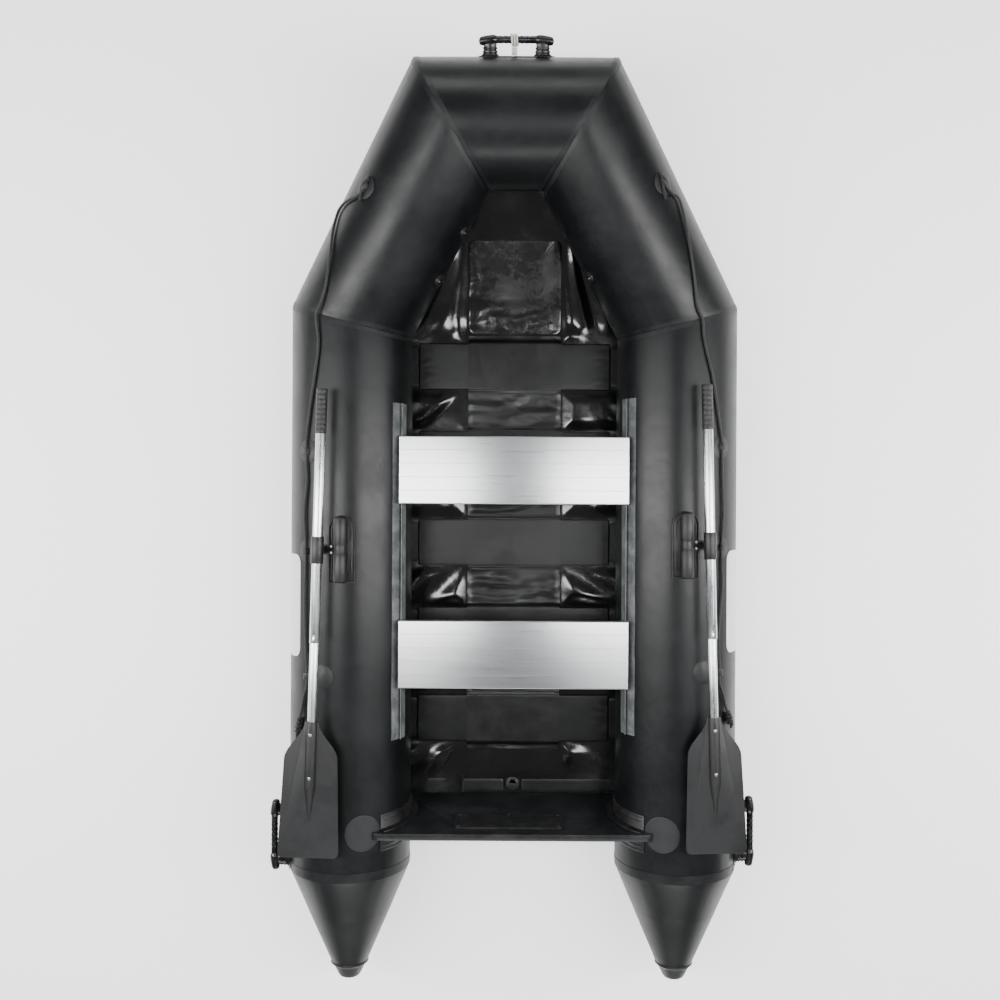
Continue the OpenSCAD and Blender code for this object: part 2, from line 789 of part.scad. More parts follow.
module lower_shaft(s) {
    color("#b9bcbf") at_oar(s) difference() {
        pipe(lower_r, shaft_t, -step_at + tube_lap, -blade_start - shaft_in_blade);
        button_hole();
        rivet_holes();
    }
}

// Half the blade's outline, from its neck to its end
neck_half = 22;
flare_len = 124;
end_r = 18;
function blade_half(d) = d < flare_len ? neck_half + (0.88 * blade_w / 2 - neck_half) * (1 - cos(180 * d / flare_len)) / 2
    : blade_w / 2 * (0.88 + 0.12 * (d - flare_len) / (blade_len - flare_len - end_r));
function blade_side(m) = concat(
    [for (i = [0 : 10]) let (d = flare_len * i / 10) [m * blade_half(d), -d]],
    [for (i = [0 : 6]) [m * (blade_w / 2 - end_r * (1 - cos(15 * i))), -blade_len + end_r * (1 - sin(15 * i))]]);

module blade(s) {
    color("#2f3133") at_oar(s) translate([0, -blade_start, 0]) difference() {
        union() {
            translate([0, 0, -blade_t / 2]) linear_extrude(blade_t)
                polygon(concat(blade_side(1), [for (i = [17 : -1 : 0]) blade_side(-1)[i]]));
            translate([0, -socket_len / 2, 0]) along_y(socket_r, socket_len);
            translate([0, -socket_len, 0]) rotate([90, 0, 0])
                cylinder(r1 = socket_r, r2 = blade_t / 2, h = socket_nose);
        }
        translate([0, -shaft_in_blade / 2 - 1, 0]) along_y(lower_r + sleeve_gap, shaft_in_blade + 4);
        translate([0, blade_start, 0]) rivet_holes();
    }
}

module rivets(s) {
    head_t = 1.6;
    color("silver") at_oar(s) at_rivets() {
        cylinder(r = rivet_r, h = 2 * socket_r + 2, center = true);
        for (z = [-1, 1]) translate([0, 0, z * (socket_r + head_t / 2 + glue)])
            cylinder(r = rivet_r + 2, h = head_t, center = true);
    }
}

button_out = 1.8;
module snap_button(s) {
    foot = 7;
    color("silver") at_oar(s) translate([0, -button_at, 0]) rotate_extrude()
        polygon([[0, foot], [button_r, foot], [button_r, shaft_r + button_out - 1],
            [button_r - 1, shaft_r + button_out], [0, shaft_r + button_out]]);
}

// Air valves: body through the tube, turning cap and sprung plunger
cap_gap = 0.3;
valve_rim = 5;
plunger_r = 6;
module at_bow_valve() { on_side(port) on_tube(bow_valve_u, valve_a) children(); }
module at_port_valve() { on_side(port) on_tube(port_valve_u, valve_a) children(); }
module at_starboard_valve() { on_side(starboard) on_tube(starboard_valve_u, valve_a) children(); }

module valve_body() {
    floor_at = -valve_depth;
    difference() {
        union() {
            difference() {
                translate([0, 0, -4]) cylinder(r = valve_r, h = valve_rim + 4);
                translate([0, 0, -tube_r]) along_y(tube_r + glue, 4 * valve_r);
            }
            translate([0, 0, floor_at]) cylinder(r = valve_barrel_r, h = valve_rim - floor_at);
        }
        translate([0, 0, floor_at + 3]) cylinder(r = valve_bore_r, h = valve_depth + valve_rim);
        translate([0, 0, floor_at - 1]) cylinder(r = plunger_r + run_gap, h = valve_depth);
    }
}

module valve_bodies() {
    color("#1c1d1e") {
        at_bow_valve() valve_body();
        at_port_valve() valve_body();
        at_starboard_valve() valve_body();
    }
}

module valve_cap() {
    color("#242526") {
        translate([0, 0, valve_rim - 4]) cylinder(r = valve_bore_r - run_gap, h = 4 + cap_gap);
        translate([0, 0, valve_rim + cap_gap]) {
            cylinder(r = valve_r - 3, h = 4);
            translate([-valve_r + 5, -2.5, 0]) cube([2 * valve_r - 10, 5, 10]);
        }
    }
}
module bow_valve_cap() { at_bow_valve() valve_cap(); }
module port_valve_cap() { at_port_valve() valve_cap(); }
module starboard_valve_cap() { at_starboard_valve() valve_cap(); }

module valve_plunger() {
    color("#3a3c3e") {
        translate([0, 0, -valve_depth - 6]) cylinder(r = plunger_r, h = valve_depth - 2);
        translate([0, 0, -valve_depth - 6]) cylinder(r = plunger_r + 6, h = 5.7);
    }
}
module bow_valve_plunger() { at_bow_valve() valve_plunger(); }
module port_valve_plunger() { at_port_valve() valve_plunger(); }
module starboard_valve_plunger() { at_starboard_valve() valve_plunger(); }

// Rope guides: [distance forward of the shoulder, angle from the top]
guide_spots = [[440, 45], [-444, 36], [-774, 36], [-1182, 34]];
guide_r = 38;
guide_base_t = 1.4;
bridge_r = 11;
rope_play = 1.2;
bridge_len = 20;
guide_tab = 20;
last_guide_in = 56;    // the aft guide's round base lies inboard of its bridge
module rope_guide(base_in) {
    bore_r = rope_d / 2 + rope_play;
    difference() {
        union() {
            tube_patch(guide_base_t) union() {
                translate([-base_in, 0, 0]) cylinder(r = guide_r, h = tube_r);
                if (base_in > 0) translate([-base_in, -guide_tab / 2, 0]) cube([base_in, guide_tab, tube_r]);
            }
            translate([0, 0, rope_h]) along_y(bridge_r, bridge_len);
            translate([-bridge_r, -bridge_len / 2, glue]) cube([2 * bridge_r, bridge_len, rope_h]);
        }
        translate([0, 0, rope_h]) along_y(bore_r, 2 * bridge_len);
        translate([0, 0, -tube_r]) along_y(tube_r + glue, 4 * guide_r);
    }
}

module rope_guides() {
    color("#1b1c1d") for (s = [port, starboard]) on_side(s) for (i = [0 : 3]) {
        u = guide_spots[i].x + s * stagger;
        on_tube(u, guide_spots[i].y) rope_guide(i == 3 ? last_guide_in : 0);
    }
}

// Grab lines: [distance forward of the shoulder, angle from the top], bow end first
port_route = [[468, 45], [449, 45], [430, 45], [411, 45], [390, 49], [365, 58], [310, 68], [200, 48], [100, 34],
    [0, 26], [-80, 23], [-150, 24], [-300, 31], [-400, 35.5], [-436, 36], [-454, 36], [-472, 36], [-500, 36],
    [-560, 35], [-650, 38], [-748, 36.2], [-766, 36], [-784, 36], [-802, 36], [-860, 36.5], [-950, 37], [-1080, 36],
    [-1156, 34.3], [-1174, 34], [-1192, 34], [-1210, 34], [-1230, 34.5], [-1310, 41], [-1400, 44]];
starboard_route = [[488, 45], [469, 45], [450, 45], [431, 45], [408, 48], [375, 54], [263, 42], [120, 26], [50, 18],
    [-30, 14], [-120, 18], [-210, 25], [-327, 31], [-398, 35], [-416, 36], [-434, 36], [-452, 36], [-480, 36.2],
    [-560, 37], [-650, 38], [-728, 36.3], [-746, 36], [-764, 36], [-782, 36], [-830, 36.4], [-900, 37],
    [-1010, 33.5], [-1080, 33], [-1136, 33.6], [-1154, 34], [-1172, 34], [-1190, 34], [-1210, 34.5], [-1290, 43],
    [-1360, 48]];
knot_r = 15;
knot_rings = 2;

function on_side_line(u, a, h) = shoulder + [(tube_r + h) * sin(a), u, (tube_r + h) * cos(a)];
function on_bow_line(u, a, h) = shoulder + u * bow_dir + (tube_r + h) * (cos(a) * bow_up + sin(a) * bow_out);
function ease(t) = let (c = min(1, max(0, t))) c * c * (3 - 2 * c);
function rope_at(u, a, h) = let (w = ease((u + 70) / 140))
    (1 - w) * on_side_line(u, a, h) + w * on_bow_line(u, a, h);
function spline(p, i, t) = let (a = p[max(0, i - 1)], b = p[i], c = p[min(len(p) - 1, i + 1)],
    d = p[min(len(p) - 1, i + 2)])
    ((2 * b) + (c - a) * t + (2 * a - 5 * b + 4 * c - d) * t * t + (3 * b - a - 3 * c + d) * t * t * t) / 2;
function along(p, f) = let (x = f * (len(p) - 1), i = min(len(p) - 2, floor(x))) spline(p, i, x - i);
function mitre_lift(u) = 5 * exp(-pow(u / 60, 2));
function rope_line(route) = let (steps = 2 * (len(route) - 1))
    [for (k = [0 : steps]) let (q = along(route, k / steps))
        rope_at(q.x, q.y, rope_h + mitre_lift(q.x) + (k > steps - knot_rings ? knot_r - rope_h + 1 : 0))];

// Tube of round rings along a line, with a fatter knot at its end
module swept(line, r, end_r, sides) {
    n = len(line);
    rings = [for (k = [0 : n - 1])
        let (d = line[min(n - 1, k + 1)] - line[max(0, k - 1)], z = d / norm(d),
            x = cross(z, [0, 0, 1]) / norm(cross(z, [0, 0, 1])), y = cross(z, x),
            w = k > n - 1 - knot_rings ? end_r : r)
        for (j = [0 : sides - 1]) line[k] + w * (cos(360 * j / sides) * x + sin(360 * j / sides) * y)];
    walls = [for (k = [0 : n - 2], j = [0 : sides - 1]) let (q = (j + 1) % sides)
        [k * sides + j, k * sides + q, (k + 1) * sides + q, (k + 1) * sides + j]];
    polyhedron(rings, concat(walls, [[for (j = [sides - 1 : -1 : 0]) j]],
        [[for (j = [0 : sides - 1]) (n - 1) * sides + j]]), convexity = 10);
}

module grab_line(s, route) { color("#0f0f10") on_side(s) swept(rope_line(route), rope_d / 2, knot_r, 8); }

// Plain oval labels on the outer sides of the tubes
label_len = 340;
label_w = 150;
label_a = 67;
label_y = -262;
module side_labels() {
    color("#e4e4e2") for (s = [port, starboard]) fitted(s) on_tube(label_y - shoulder_y, label_a) intersection() {
        translate([0, 0, -tube_r]) difference() {
            along_y(tube_r + glue + 0.4, 2 * label_len);
            along_y(tube_r + glue, 3 * label_len);
        }
        translate([0, 0, -tube_r / 2]) linear_extrude(tube_r) soft_rect(label_w, label_len, 24);
    }
}

side_tube(port);  // port_side_tube
side_tube(starboard);  // starboard_side_tube
bow_tube(port);  // port_bow_tube
bow_tube(starboard);  // starboard_bow_tube
front_tube();
tail_cone(port);  // port_tail_cone
tail_cone(starboard);  // starboard_tail_cone
tail_caps();
seam_tapes();
air_baffles();
bottom_skin();
floor_slats();
floor_strap();
patches();
seat_rails();
transom_board();
transom_holders();
inner_motor_plate();
outer_motor_plate();
motor_plate_screws();
drain_housing();
drain_plug();
bench(front_bench_y);  // front_bench
bench_shoes(front_bench_y);  // front_bench_shoes
bench(rear_bench_y);  // rear_bench
bench_shoes(rear_bench_y);  // rear_bench_shoes
bow_handle();
stern_handle(port);  // port_stern_handle
stern_handle(starboard);  // starboard_stern_handle
bow_lashing();
oarlock_base(port);  // port_oarlock_base
oarlock_base(starboard);  // starboard_oarlock_base
oarlock_axles();
block(port);  // port_block
block(starboard);  // starboard_block
grip(port);  // port_grip
upper_shaft(port);  // port_upper_shaft
collar(port);  // port_collar
lower_shaft(port);  // port_lower_shaft
blade(port);  // port_blade
rivets(port);  // port_rivets
snap_button(port);  // port_snap_button
grip(starboard);  // starboard_grip
upper_shaft(starboard);  // starboard_upper_shaft
collar(starboard);  // starboard_collar
lower_shaft(starboard);  // starboard_lower_shaft
blade(starboard);  // starboard_blade
rivets(starboard);  // starboard_rivets
snap_button(starboard);  // starboard_snap_button
valve_bodies();
bow_valve_cap();
port_valve_cap();
starboard_valve_cap();
bow_valve_plunger();
port_valve_plunger();
starboard_valve_plunger();
rope_guides();
grab_line(port, port_route);  // port_grab_line
grab_line(starboard, starboard_route);  // starboard_grab_line
side_labels();
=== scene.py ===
"""Rigid-transom inflatable dinghy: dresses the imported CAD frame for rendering.

Every length is in metres, in the frame's own axes: X to starboard, Y to the bow, Z up, with the
origin on the ground under the middle of the boat.
"""
import logging
import math
from contextlib import contextmanager
from dataclasses import dataclass, field
from enum import Enum
from typing import Callable, Iterator, Sequence

import bmesh
import bpy
from mathutils import Matrix, Vector, noise


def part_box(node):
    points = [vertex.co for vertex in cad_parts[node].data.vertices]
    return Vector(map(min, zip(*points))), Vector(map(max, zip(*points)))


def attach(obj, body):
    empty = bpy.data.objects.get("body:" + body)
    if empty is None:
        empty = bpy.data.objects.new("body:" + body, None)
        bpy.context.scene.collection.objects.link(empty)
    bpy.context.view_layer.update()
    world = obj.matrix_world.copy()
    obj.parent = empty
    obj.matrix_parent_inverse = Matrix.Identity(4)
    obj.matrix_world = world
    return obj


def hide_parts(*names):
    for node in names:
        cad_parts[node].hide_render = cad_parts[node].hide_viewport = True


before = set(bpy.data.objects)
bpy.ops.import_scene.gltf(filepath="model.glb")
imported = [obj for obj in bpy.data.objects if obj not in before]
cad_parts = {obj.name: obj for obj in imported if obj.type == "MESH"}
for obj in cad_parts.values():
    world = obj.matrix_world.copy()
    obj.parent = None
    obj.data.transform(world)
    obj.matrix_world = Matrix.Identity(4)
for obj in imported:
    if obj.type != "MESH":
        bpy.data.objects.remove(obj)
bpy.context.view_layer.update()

MM = 0.001
TAU = 2.0 * math.pi
log = logging.getLogger("dinghy")

Triple = tuple[float, float, float]


# ---------------------------------------------------------------- shader maths


class Ink:
    """A shader socket that takes part in Python arithmetic."""

    def __init__(self, graph: "Graph", socket: bpy.types.NodeSocket) -> None:
        """Wraps one output socket of a graph."""
        self.graph = graph
        self.socket = socket

    def _with(self, operation: str, first: object, second: object) -> "Ink":
        """Adds one Math node that joins two values."""
        return self.graph.node("ShaderNodeMath", {"operation": operation}, {0: first, 1: second})

    def __add__(self, other: object) -> "Ink":
        """Sum."""
        return self._with("ADD", self, other)

    def __sub__(self, other: object) -> "Ink":
        """Difference."""
        return self._with("SUBTRACT", self, other)

    def __mul__(self, other: object) -> "Ink":
        """Product."""
        return self._with("MULTIPLY", self, other)

    def __pow__(self, other: object) -> "Ink":
        """Power."""
        return self._with("POWER", self, other)

    def above(self, low: float, high: float) -> "Ink":
        """Smooth mask that rises from 0 at low to 1 at high."""
        return self.graph.node(
            "ShaderNodeMapRange",
            {"interpolation_type": "SMOOTHSTEP"},
            {"Value": self, "From Min": low, "From Max": high},
        )


class Graph:
    """The node tree of one material."""

    def __init__(self, name: str) -> None:
        """Makes an empty material with a Principled shader."""
        self.material = bpy.data.materials.new(name)
        self.material.use_nodes = True
        self.tree = self.material.node_tree
        self.shader = self.tree.nodes["Principled BSDF"]

    def node(self, kind: str, settings: dict[str, object], inputs: dict, output: object = 0) -> Ink:
        """Adds any node.

        Args:
            kind: The node's type name.
            settings: Its own settings, set before its sockets.
            inputs: A value or an Ink for each socket, by name or number.
            output: The output that is wanted, by name or number.

        Returns:
            The wanted output.
        """
        made = self.tree.nodes.new(kind)
        for key, value in settings.items():
            if key == "stops":
                self._stops(made, value)
            else:
                setattr(made, key, value)
        for key, value in inputs.items():
            if isinstance(value, Ink):
                self.tree.links.new(value.socket, made.inputs[key])
            else:
                made.inputs[key].default_value = value
        return Ink(self, made.outputs[output])

    @staticmethod
    def _stops(made: bpy.types.Node, stops: Sequence[tuple[float, Triple]]) -> None:
        """Gives a colour ramp its stops."""
        ramp = made.color_ramp.elements
        while len(ramp) < len(stops):
            ramp.new(1.0)
        for element, (place, colour) in zip(ramp, stops):
            element.position = place
            element.color = (*colour, 1.0)

    def point(self, stretch: Triple = (1.0, 1.0, 1.0)) -> Ink:
        """Object coordinates, stretched along the axes."""
        where = self.node("ShaderNodeTexCoord", {}, {}, "Object")
        return self.node("ShaderNodeMapping", {}, {"Vector": where, "Scale": stretch})

    def uv(self) -> Ink:
        """The piece's own UV map."""
        return self.node("ShaderNodeTexCoord", {}, {}, "UV")

    def cloud(self, where: Ink, scale: float, detail: float = 3.0, rough: float = 0.5, warp: float = 0.0) -> Ink:
        """Soft noise from 0 to 1."""
        return self.node("ShaderNodeTexNoise", {}, {
            "Vector": where, "Scale": scale, "Detail": detail, "Roughness": rough, "Distortion": warp})

    def cells(self, where: Ink, scale: float) -> Ink:
        """Distance to the nearest cell point."""
        return self.node("ShaderNodeTexVoronoi", {"feature": "F1"}, {"Vector": where, "Scale": scale}, "Distance")

    def stripes(self, where: Ink) -> Ink:
        """Diagonal sine stripes."""
        return self.node("ShaderNodeTexWave", {"bands_direction": "DIAGONAL"}, {
            "Vector": where, "Scale": 1.0, "Distortion": 0.0})

    def blend(self, mask: Ink, first: Triple, second: Triple) -> Ink:
        """Colour between two colours."""
        return self.node("ShaderNodeValToRGB", {"stops": ((0.0, first), (1.0, second))}, {"Fac": mask})

    def bump(self, height: Ink, depth: float, under: "Ink | None" = None) -> Ink:
        """Normal of a height map that is depth metres tall."""
        inputs = {"Height": height, "Distance": depth, "Strength": 1.0}
        if under is not None:
            inputs["Normal"] = under
        return self.node("ShaderNodeBump", {}, inputs)

    def feed(self, **values: object) -> None:
        """Sets or links sockets of the shader: base_color for Base Color, and so on."""
        for key, value in values.items():
            socket = self.shader.inputs[key.replace("_", " ").title().replace("Ior", "IOR")]
            if isinstance(value, Ink):
                self.tree.links.new(value.socket, socket)
            elif isinstance(value, tuple) and len(value) == 3:
                socket.default_value = (*value, 1.0)
            else:
                socket.default_value = value


# ---------------------------------------------------------------- finishes


@dataclass(frozen=True)
class Finish:
    """A surface with a worn, slightly uneven look.

    Attributes:
        name: The record's slot.
        colour: Main colour.
        tint: Colour of the lighter patches: dust, scuffs or fading; on the bench planks a painted reflection, and on
            the cords a painted highlight on the strand tops.
        rough: Roughness where it is cleanest.
        rough_span: How much rougher the dull patches are.
        patch: Patches to a metre.
        grain: Grain to a metre.
        grain_depth: Height of the grain, in metres.
        metal: Metallic share.
        coat: Weight of a clear coat.
        specular: Level of the reflections.
        look: What this finish adds to the slot's name, where a slot has several.
    """

    name: str
    colour: Triple
    tint: Triple
    rough: float = 0.45
    rough_span: float = 0.15
    patch: float = 9.0
    grain: float = 900.0
    grain_depth: float = 0.00005
    metal: float = 0.0
    coat: float = 0.0
    specular: float = 0.5
    look: str = ""

    @property
    def title(self) -> str:
        """Name of the material."""
        return f"{self.name}{self.look}_finish"

    def relief(self, graph: Graph) -> Ink:
        """Fine relief of the surface, as a normal."""
        fine = graph.cloud(graph.point(), self.grain, 2.0)
        return graph.bump(fine, self.grain_depth)

    def patches(self, graph: Graph) -> Ink:
        """Mask of the duller patches."""
        where = graph.point()
        broad = graph.cloud(where, self.patch, 4.0, 0.6)
        small = graph.cloud(where, self.patch * 9.0, 3.0, 0.65)
        return (broad * 0.7 + small * 0.3).above(0.38, 0.68)

    def make(self) -> bpy.types.Material:
        """Builds the material."""
        graph = Graph(self.title)
        # on planks and cords this mask also carries a painted reflection and a painted highlight
        dull = self.patches(graph)
        graph.feed(
            base_color=graph.blend(dull, self.colour, self.tint),
            roughness=dull * self.rough_span + self.rough,
            normal=self.relief(graph),
            metallic=self.metal,
            coat_weight=self.coat,
        )
        graph.shader.inputs["Specular IOR Level"].default_value = self.specular
        graph.material.diffuse_color = (*self.colour, 1.0)
        return graph.material


@dataclass(frozen=True)
class CoatedFabric(Finish):
    """PVC-coated fabric: a faint weave under a smooth coat, and soft creases.

    Attributes:
        weave: Threads to a metre.
        weave_depth: Height of the weave.
        crease: Creases to a metre.
        crease_depth: Height of the creases.
    """

    weave: float = 420.0
    weave_depth: float = 0.00004
    crease: float = 14.0
    crease_depth: float = 0.0006

    def relief(self, graph: Graph) -> Ink:
        """Weave over soft creases."""
        where = graph.point()
        soft = graph.cloud(where, self.crease, 3.0, 0.55, 0.6)
        threads = graph.cells(where, self.weave)
        return graph.bump(threads, self.weave_depth, graph.bump(soft, self.crease_depth))


@dataclass(frozen=True)
class CrinkledTape(Finish):
    """Loose, crinkled tape with sharp little folds across its length.

    Attributes:
        fold: Folds to a metre.
        fold_depth: Height of the folds.
    """

    fold: float = 38.0
    fold_depth: float = 0.0035

    def relief(self, graph: Graph) -> Ink:
        """Ridged folds that run across the tape."""
        where = graph.point((0.35, 1.0, 0.35))
        ridges = graph.cloud(where, self.fold, 5.0, 0.6, 1.4)
        sharp = (ridges - 0.5) * (ridges - 0.5)
        return graph.bump(sharp ** 0.5, self.fold_depth, super().relief(graph))


@dataclass(frozen=True)
class Brushed(Finish):
    """Metal with fine lines along X.

    Attributes:
        line: Lines to a metre.
    """

    line: float = 700.0

    def relief(self, graph: Graph) -> Ink:
        """Long fine scratches."""
        lines = graph.cloud(graph.point((0.006, 1.0, 1.0)), self.line, 4.0, 0.7)
        return graph.bump(lines, self.grain_depth)

    def patches(self, graph: Graph) -> Ink:
        """Streaks along the brushing."""
        streaks = graph.cloud(graph.point((0.03, 1.0, 1.0)), self.patch * 12.0, 5.0, 0.7)
        return streaks.above(0.3, 0.75)


@dataclass(frozen=True)
class Plank(Brushed):
    """Extruded plank: brushed lines, and a painted reflection that grows paler towards both ends.

    Attributes:
        half: Half the length over which the painted reflection grows paler.
    """

    half: float = 0.38

    def patches(self, graph: Graph) -> Ink:
        """Streaks, with a painted reflection that grows paler towards the ends."""
        across = graph.node("ShaderNodeSeparateXYZ", {}, {"Vector": graph.point()}, "X")
        # painted reflection: seven tenths of the mask rises from the middle to both ends, the rest is brushing streaks
        end = graph.node("ShaderNodeMath", {"operation": "ABSOLUTE"}, {0: across}).above(0.08, self.half)
        return end * 0.7 + super().patches(graph) * 0.3


@dataclass(frozen=True)
class Anodised(Brushed):
    """Drawn tube: fine lines along Y, with faint smudges."""

    def relief(self, graph: Graph) -> Ink:
        """Long fine scratches along the tube."""
        lines = graph.cloud(graph.point((1.0, 0.01, 1.0)), self.line, 4.0, 0.7)
        return graph.bump(lines, self.grain_depth)

    def patches(self, graph: Graph) -> Ink:
        """Smudges that run along the tube."""
        return graph.cloud(graph.point((1.0, 0.12, 1.0)), self.patch * 6.0, 4.0, 0.6).above(0.35, 0.7)


@dataclass(frozen=True)
class Braid(Finish):
    """Braided cord: plaited strands that follow the cord's UV map, V along its length.

    Attributes:
        around: Strands round the cord.
        strand: Strands to one girth of its length.
        strand_depth: Height of the strands.
    """

    around: float = 4.0
    strand: float = 1.0
    strand_depth: float = 0.0016

    def _plait(self, graph: Graph) -> Ink:
        """Height of two sets of crossing strands."""
        left, right = (graph.stripes(graph.node("ShaderNodeMapping", {}, {
            "Vector": graph.uv(), "Scale": (turn, self.strand, 1.0)})) for turn in (self.around, -self.around))
        return left * right

    def relief(self, graph: Graph) -> Ink:
        """Two sets of crossing strands."""
        return graph.bump(self._plait(graph), self.strand_depth)

    def patches(self, graph: Graph) -> Ink:
        """Painted highlight: paler colour where the strands cross on top."""
        # painted highlight on the strand tops, where the plait is highest
        return self._plait(graph).above(0.35, 0.8)


class Paint(Enum):
    """Every finish on the boat, by the record's slot."""

    TUBE_FABRIC = CoatedFabric(
        "tube_fabric", (0.0030, 0.0035, 0.0040), (0.0046, 0.0053, 0.0059), 0.34, 0.10, 5.0, specular=0.34)
    SEAM_TAPE = CoatedFabric(
        "seam_tape", (0.0040, 0.0044, 0.0050), (0.0070, 0.0078, 0.0088), 0.40, 0.14, 14.0, specular=0.36)
    MOULDED_CAP = Finish("moulded_cap", (0.0045, 0.0045, 0.005), (0.0090, 0.0095, 0.0105), 0.38, 0.2, 20.0)
    FLOOR_FABRIC = CoatedFabric(
        "floor_fabric", (0.0026, 0.0028, 0.0030), (0.0044, 0.0047, 0.0050), 0.13, 0.10, 7.0,
        crease=9.0, crease_depth=0.0016, weave_depth=0.00001, specular=0.7)
    SLAT = CoatedFabric(
        "slat", (0.0036, 0.0039, 0.0043), (0.0060, 0.0065, 0.0071), 0.34, 0.12, 6.0, crease=8.0, crease_depth=0.0004,
        specular=0.45)
    STRAP_FABRIC = CoatedFabric(
        "strap_fabric", (0.0032, 0.0034, 0.0037), (0.0052, 0.0056, 0.0061), 0.30, 0.12, 7.0,
        crease=7.0, crease_depth=0.0005)
    PATCH_FABRIC = CoatedFabric("patch_fabric", (0.0075, 0.0088, 0.0105), (0.0130, 0.0148, 0.0170), 0.5, 0.15, 25.0)
    BOW_PATCH = CoatedFabric(
        "patch_fabric", (0.0035, 0.0037, 0.0040), (0.0068, 0.0072, 0.0078), 0.20, 0.18, 6.0,
        crease=34.0, crease_depth=0.0012, specular=0.6, look="_glued")
    RAIL_FABRIC = CrinkledTape("rail_fabric", (0.060, 0.067, 0.069), (0.150, 0.160, 0.163), 0.40, 0.15, 22.0,
                               fold_depth=0.0016)
    TRANSOM_BOARD = Finish(
        "transom_board", (0.0060, 0.0068, 0.0080), (0.0120, 0.0132, 0.0150), 0.34, 0.2, 8.0, 500.0, 0.00008)
    HOLDER_RUBBER = Finish("holder_rubber", (0.0040, 0.0040, 0.0045), (0.0085, 0.0088, 0.0095), 0.4, 0.2, 22.0)
    MOTOR_PLATE = Finish("motor_plate", (0.0065, 0.0068, 0.0075), (0.0125, 0.0130, 0.0140), 0.34, 0.2, 20.0)
    STEEL = Brushed("steel", (0.62, 0.62, 0.63), (0.45, 0.45, 0.46), 0.24, 0.2, 40.0, metal=1.0)
    DRAIN_PLASTIC = Finish("drain_plastic", (0.0045, 0.0045, 0.005), (0.0095, 0.0098, 0.0105), 0.28, 0.2, 40.0)
    # the bench's paler tint is a painted reflection towards the plank's ends
    BENCH_ALUMINIUM = Plank(
        "bench_aluminium", (0.50, 0.51, 0.525), (0.66, 0.67, 0.685), 0.27, 0.12, 6.0, 700.0, 0.00006, metal=1.0)
    BENCH_SHOE = Finish("bench_shoe", (0.008, 0.008, 0.009), (0.016, 0.016, 0.018), 0.5, 0.2, 40.0)
    HANDLE_PLASTIC = Finish("handle_plastic", (0.0035, 0.0035, 0.0038), (0.0070, 0.0073, 0.0078), 0.22, 0.2, 30.0)
    # the cord's paler tint is a painted highlight on the strand tops
    WHITE_CORD = Braid("white_cord", (0.72, 0.70, 0.65), (0.86, 0.85, 0.81), 0.7, 0.2, 60.0)
    OARLOCK_RUBBER = Finish("oarlock_rubber", (0.0045, 0.0045, 0.0050), (0.0100, 0.0103, 0.0112), 0.40, 0.2, 30.0)
    OAR_GRIP = Anodised("oar_grip", (0.0060, 0.0060, 0.0064), (0.0110, 0.0113, 0.0120), 0.46, 0.1, 20.0,
                        grain_depth=0.0012, line=260.0)
    OAR_TUBE = Anodised("oar_tube", (0.60, 0.61, 0.63), (0.74, 0.75, 0.77), 0.26, 0.12, 9.0, 700.0, 0.00004, metal=1.0)
    COLLAR_PLASTIC = Finish("collar_plastic", (0.0045, 0.0045, 0.0048), (0.0090, 0.0092, 0.0098), 0.36, 0.2, 30.0)
    BLADE_PLASTIC = Finish(
        "blade_plastic", (0.0050, 0.0053, 0.0060), (0.0090, 0.0095, 0.0105), 0.48, 0.16, 12.0, 1400.0, 0.00009)
    # the rope's paler tint is a painted highlight on the strand tops
    BLACK_ROPE = Braid("black_rope", (0.0030, 0.0030, 0.0032), (0.0550, 0.0550, 0.0580), 0.55, 0.2, 70.0)
    VALVE_PLASTIC = Finish("valve_plastic", (0.0050, 0.0050, 0.0054), (0.0110, 0.0113, 0.0122), 0.32, 0.2, 50.0)
    GUIDE_RUBBER = Finish("guide_rubber", (0.0050, 0.0053, 0.0058), (0.0105, 0.0110, 0.0120), 0.44, 0.2, 40.0)
    LABEL = Finish("label", (0.84, 0.84, 0.83), (0.76, 0.76, 0.75), 0.35, 0.15, 12.0)
    BAFFLE_FABRIC = CoatedFabric("baffle_fabric", (0.012, 0.0125, 0.0135), (0.020, 0.0205, 0.022), 0.5, 0.1)

    def material(self) -> bpy.types.Material:
        """The built material, made once."""
        made = bpy.data.materials.get(self.value.title)
        return made or self.value.make()


# ---------------------------------------------------------------- the bench


HULL = "hull"
SMOOTH = math.radians(35.0)
MERGE = 0.00001
COPLANAR = math.radians(0.3)


def aim(along: Vector, at: Vector) -> Matrix:
    """Matrix that lays Z along a direction at a place."""
    return Matrix.Translation(at) @ along.to_track_quat("Z", "Y").to_matrix().to_4x4()


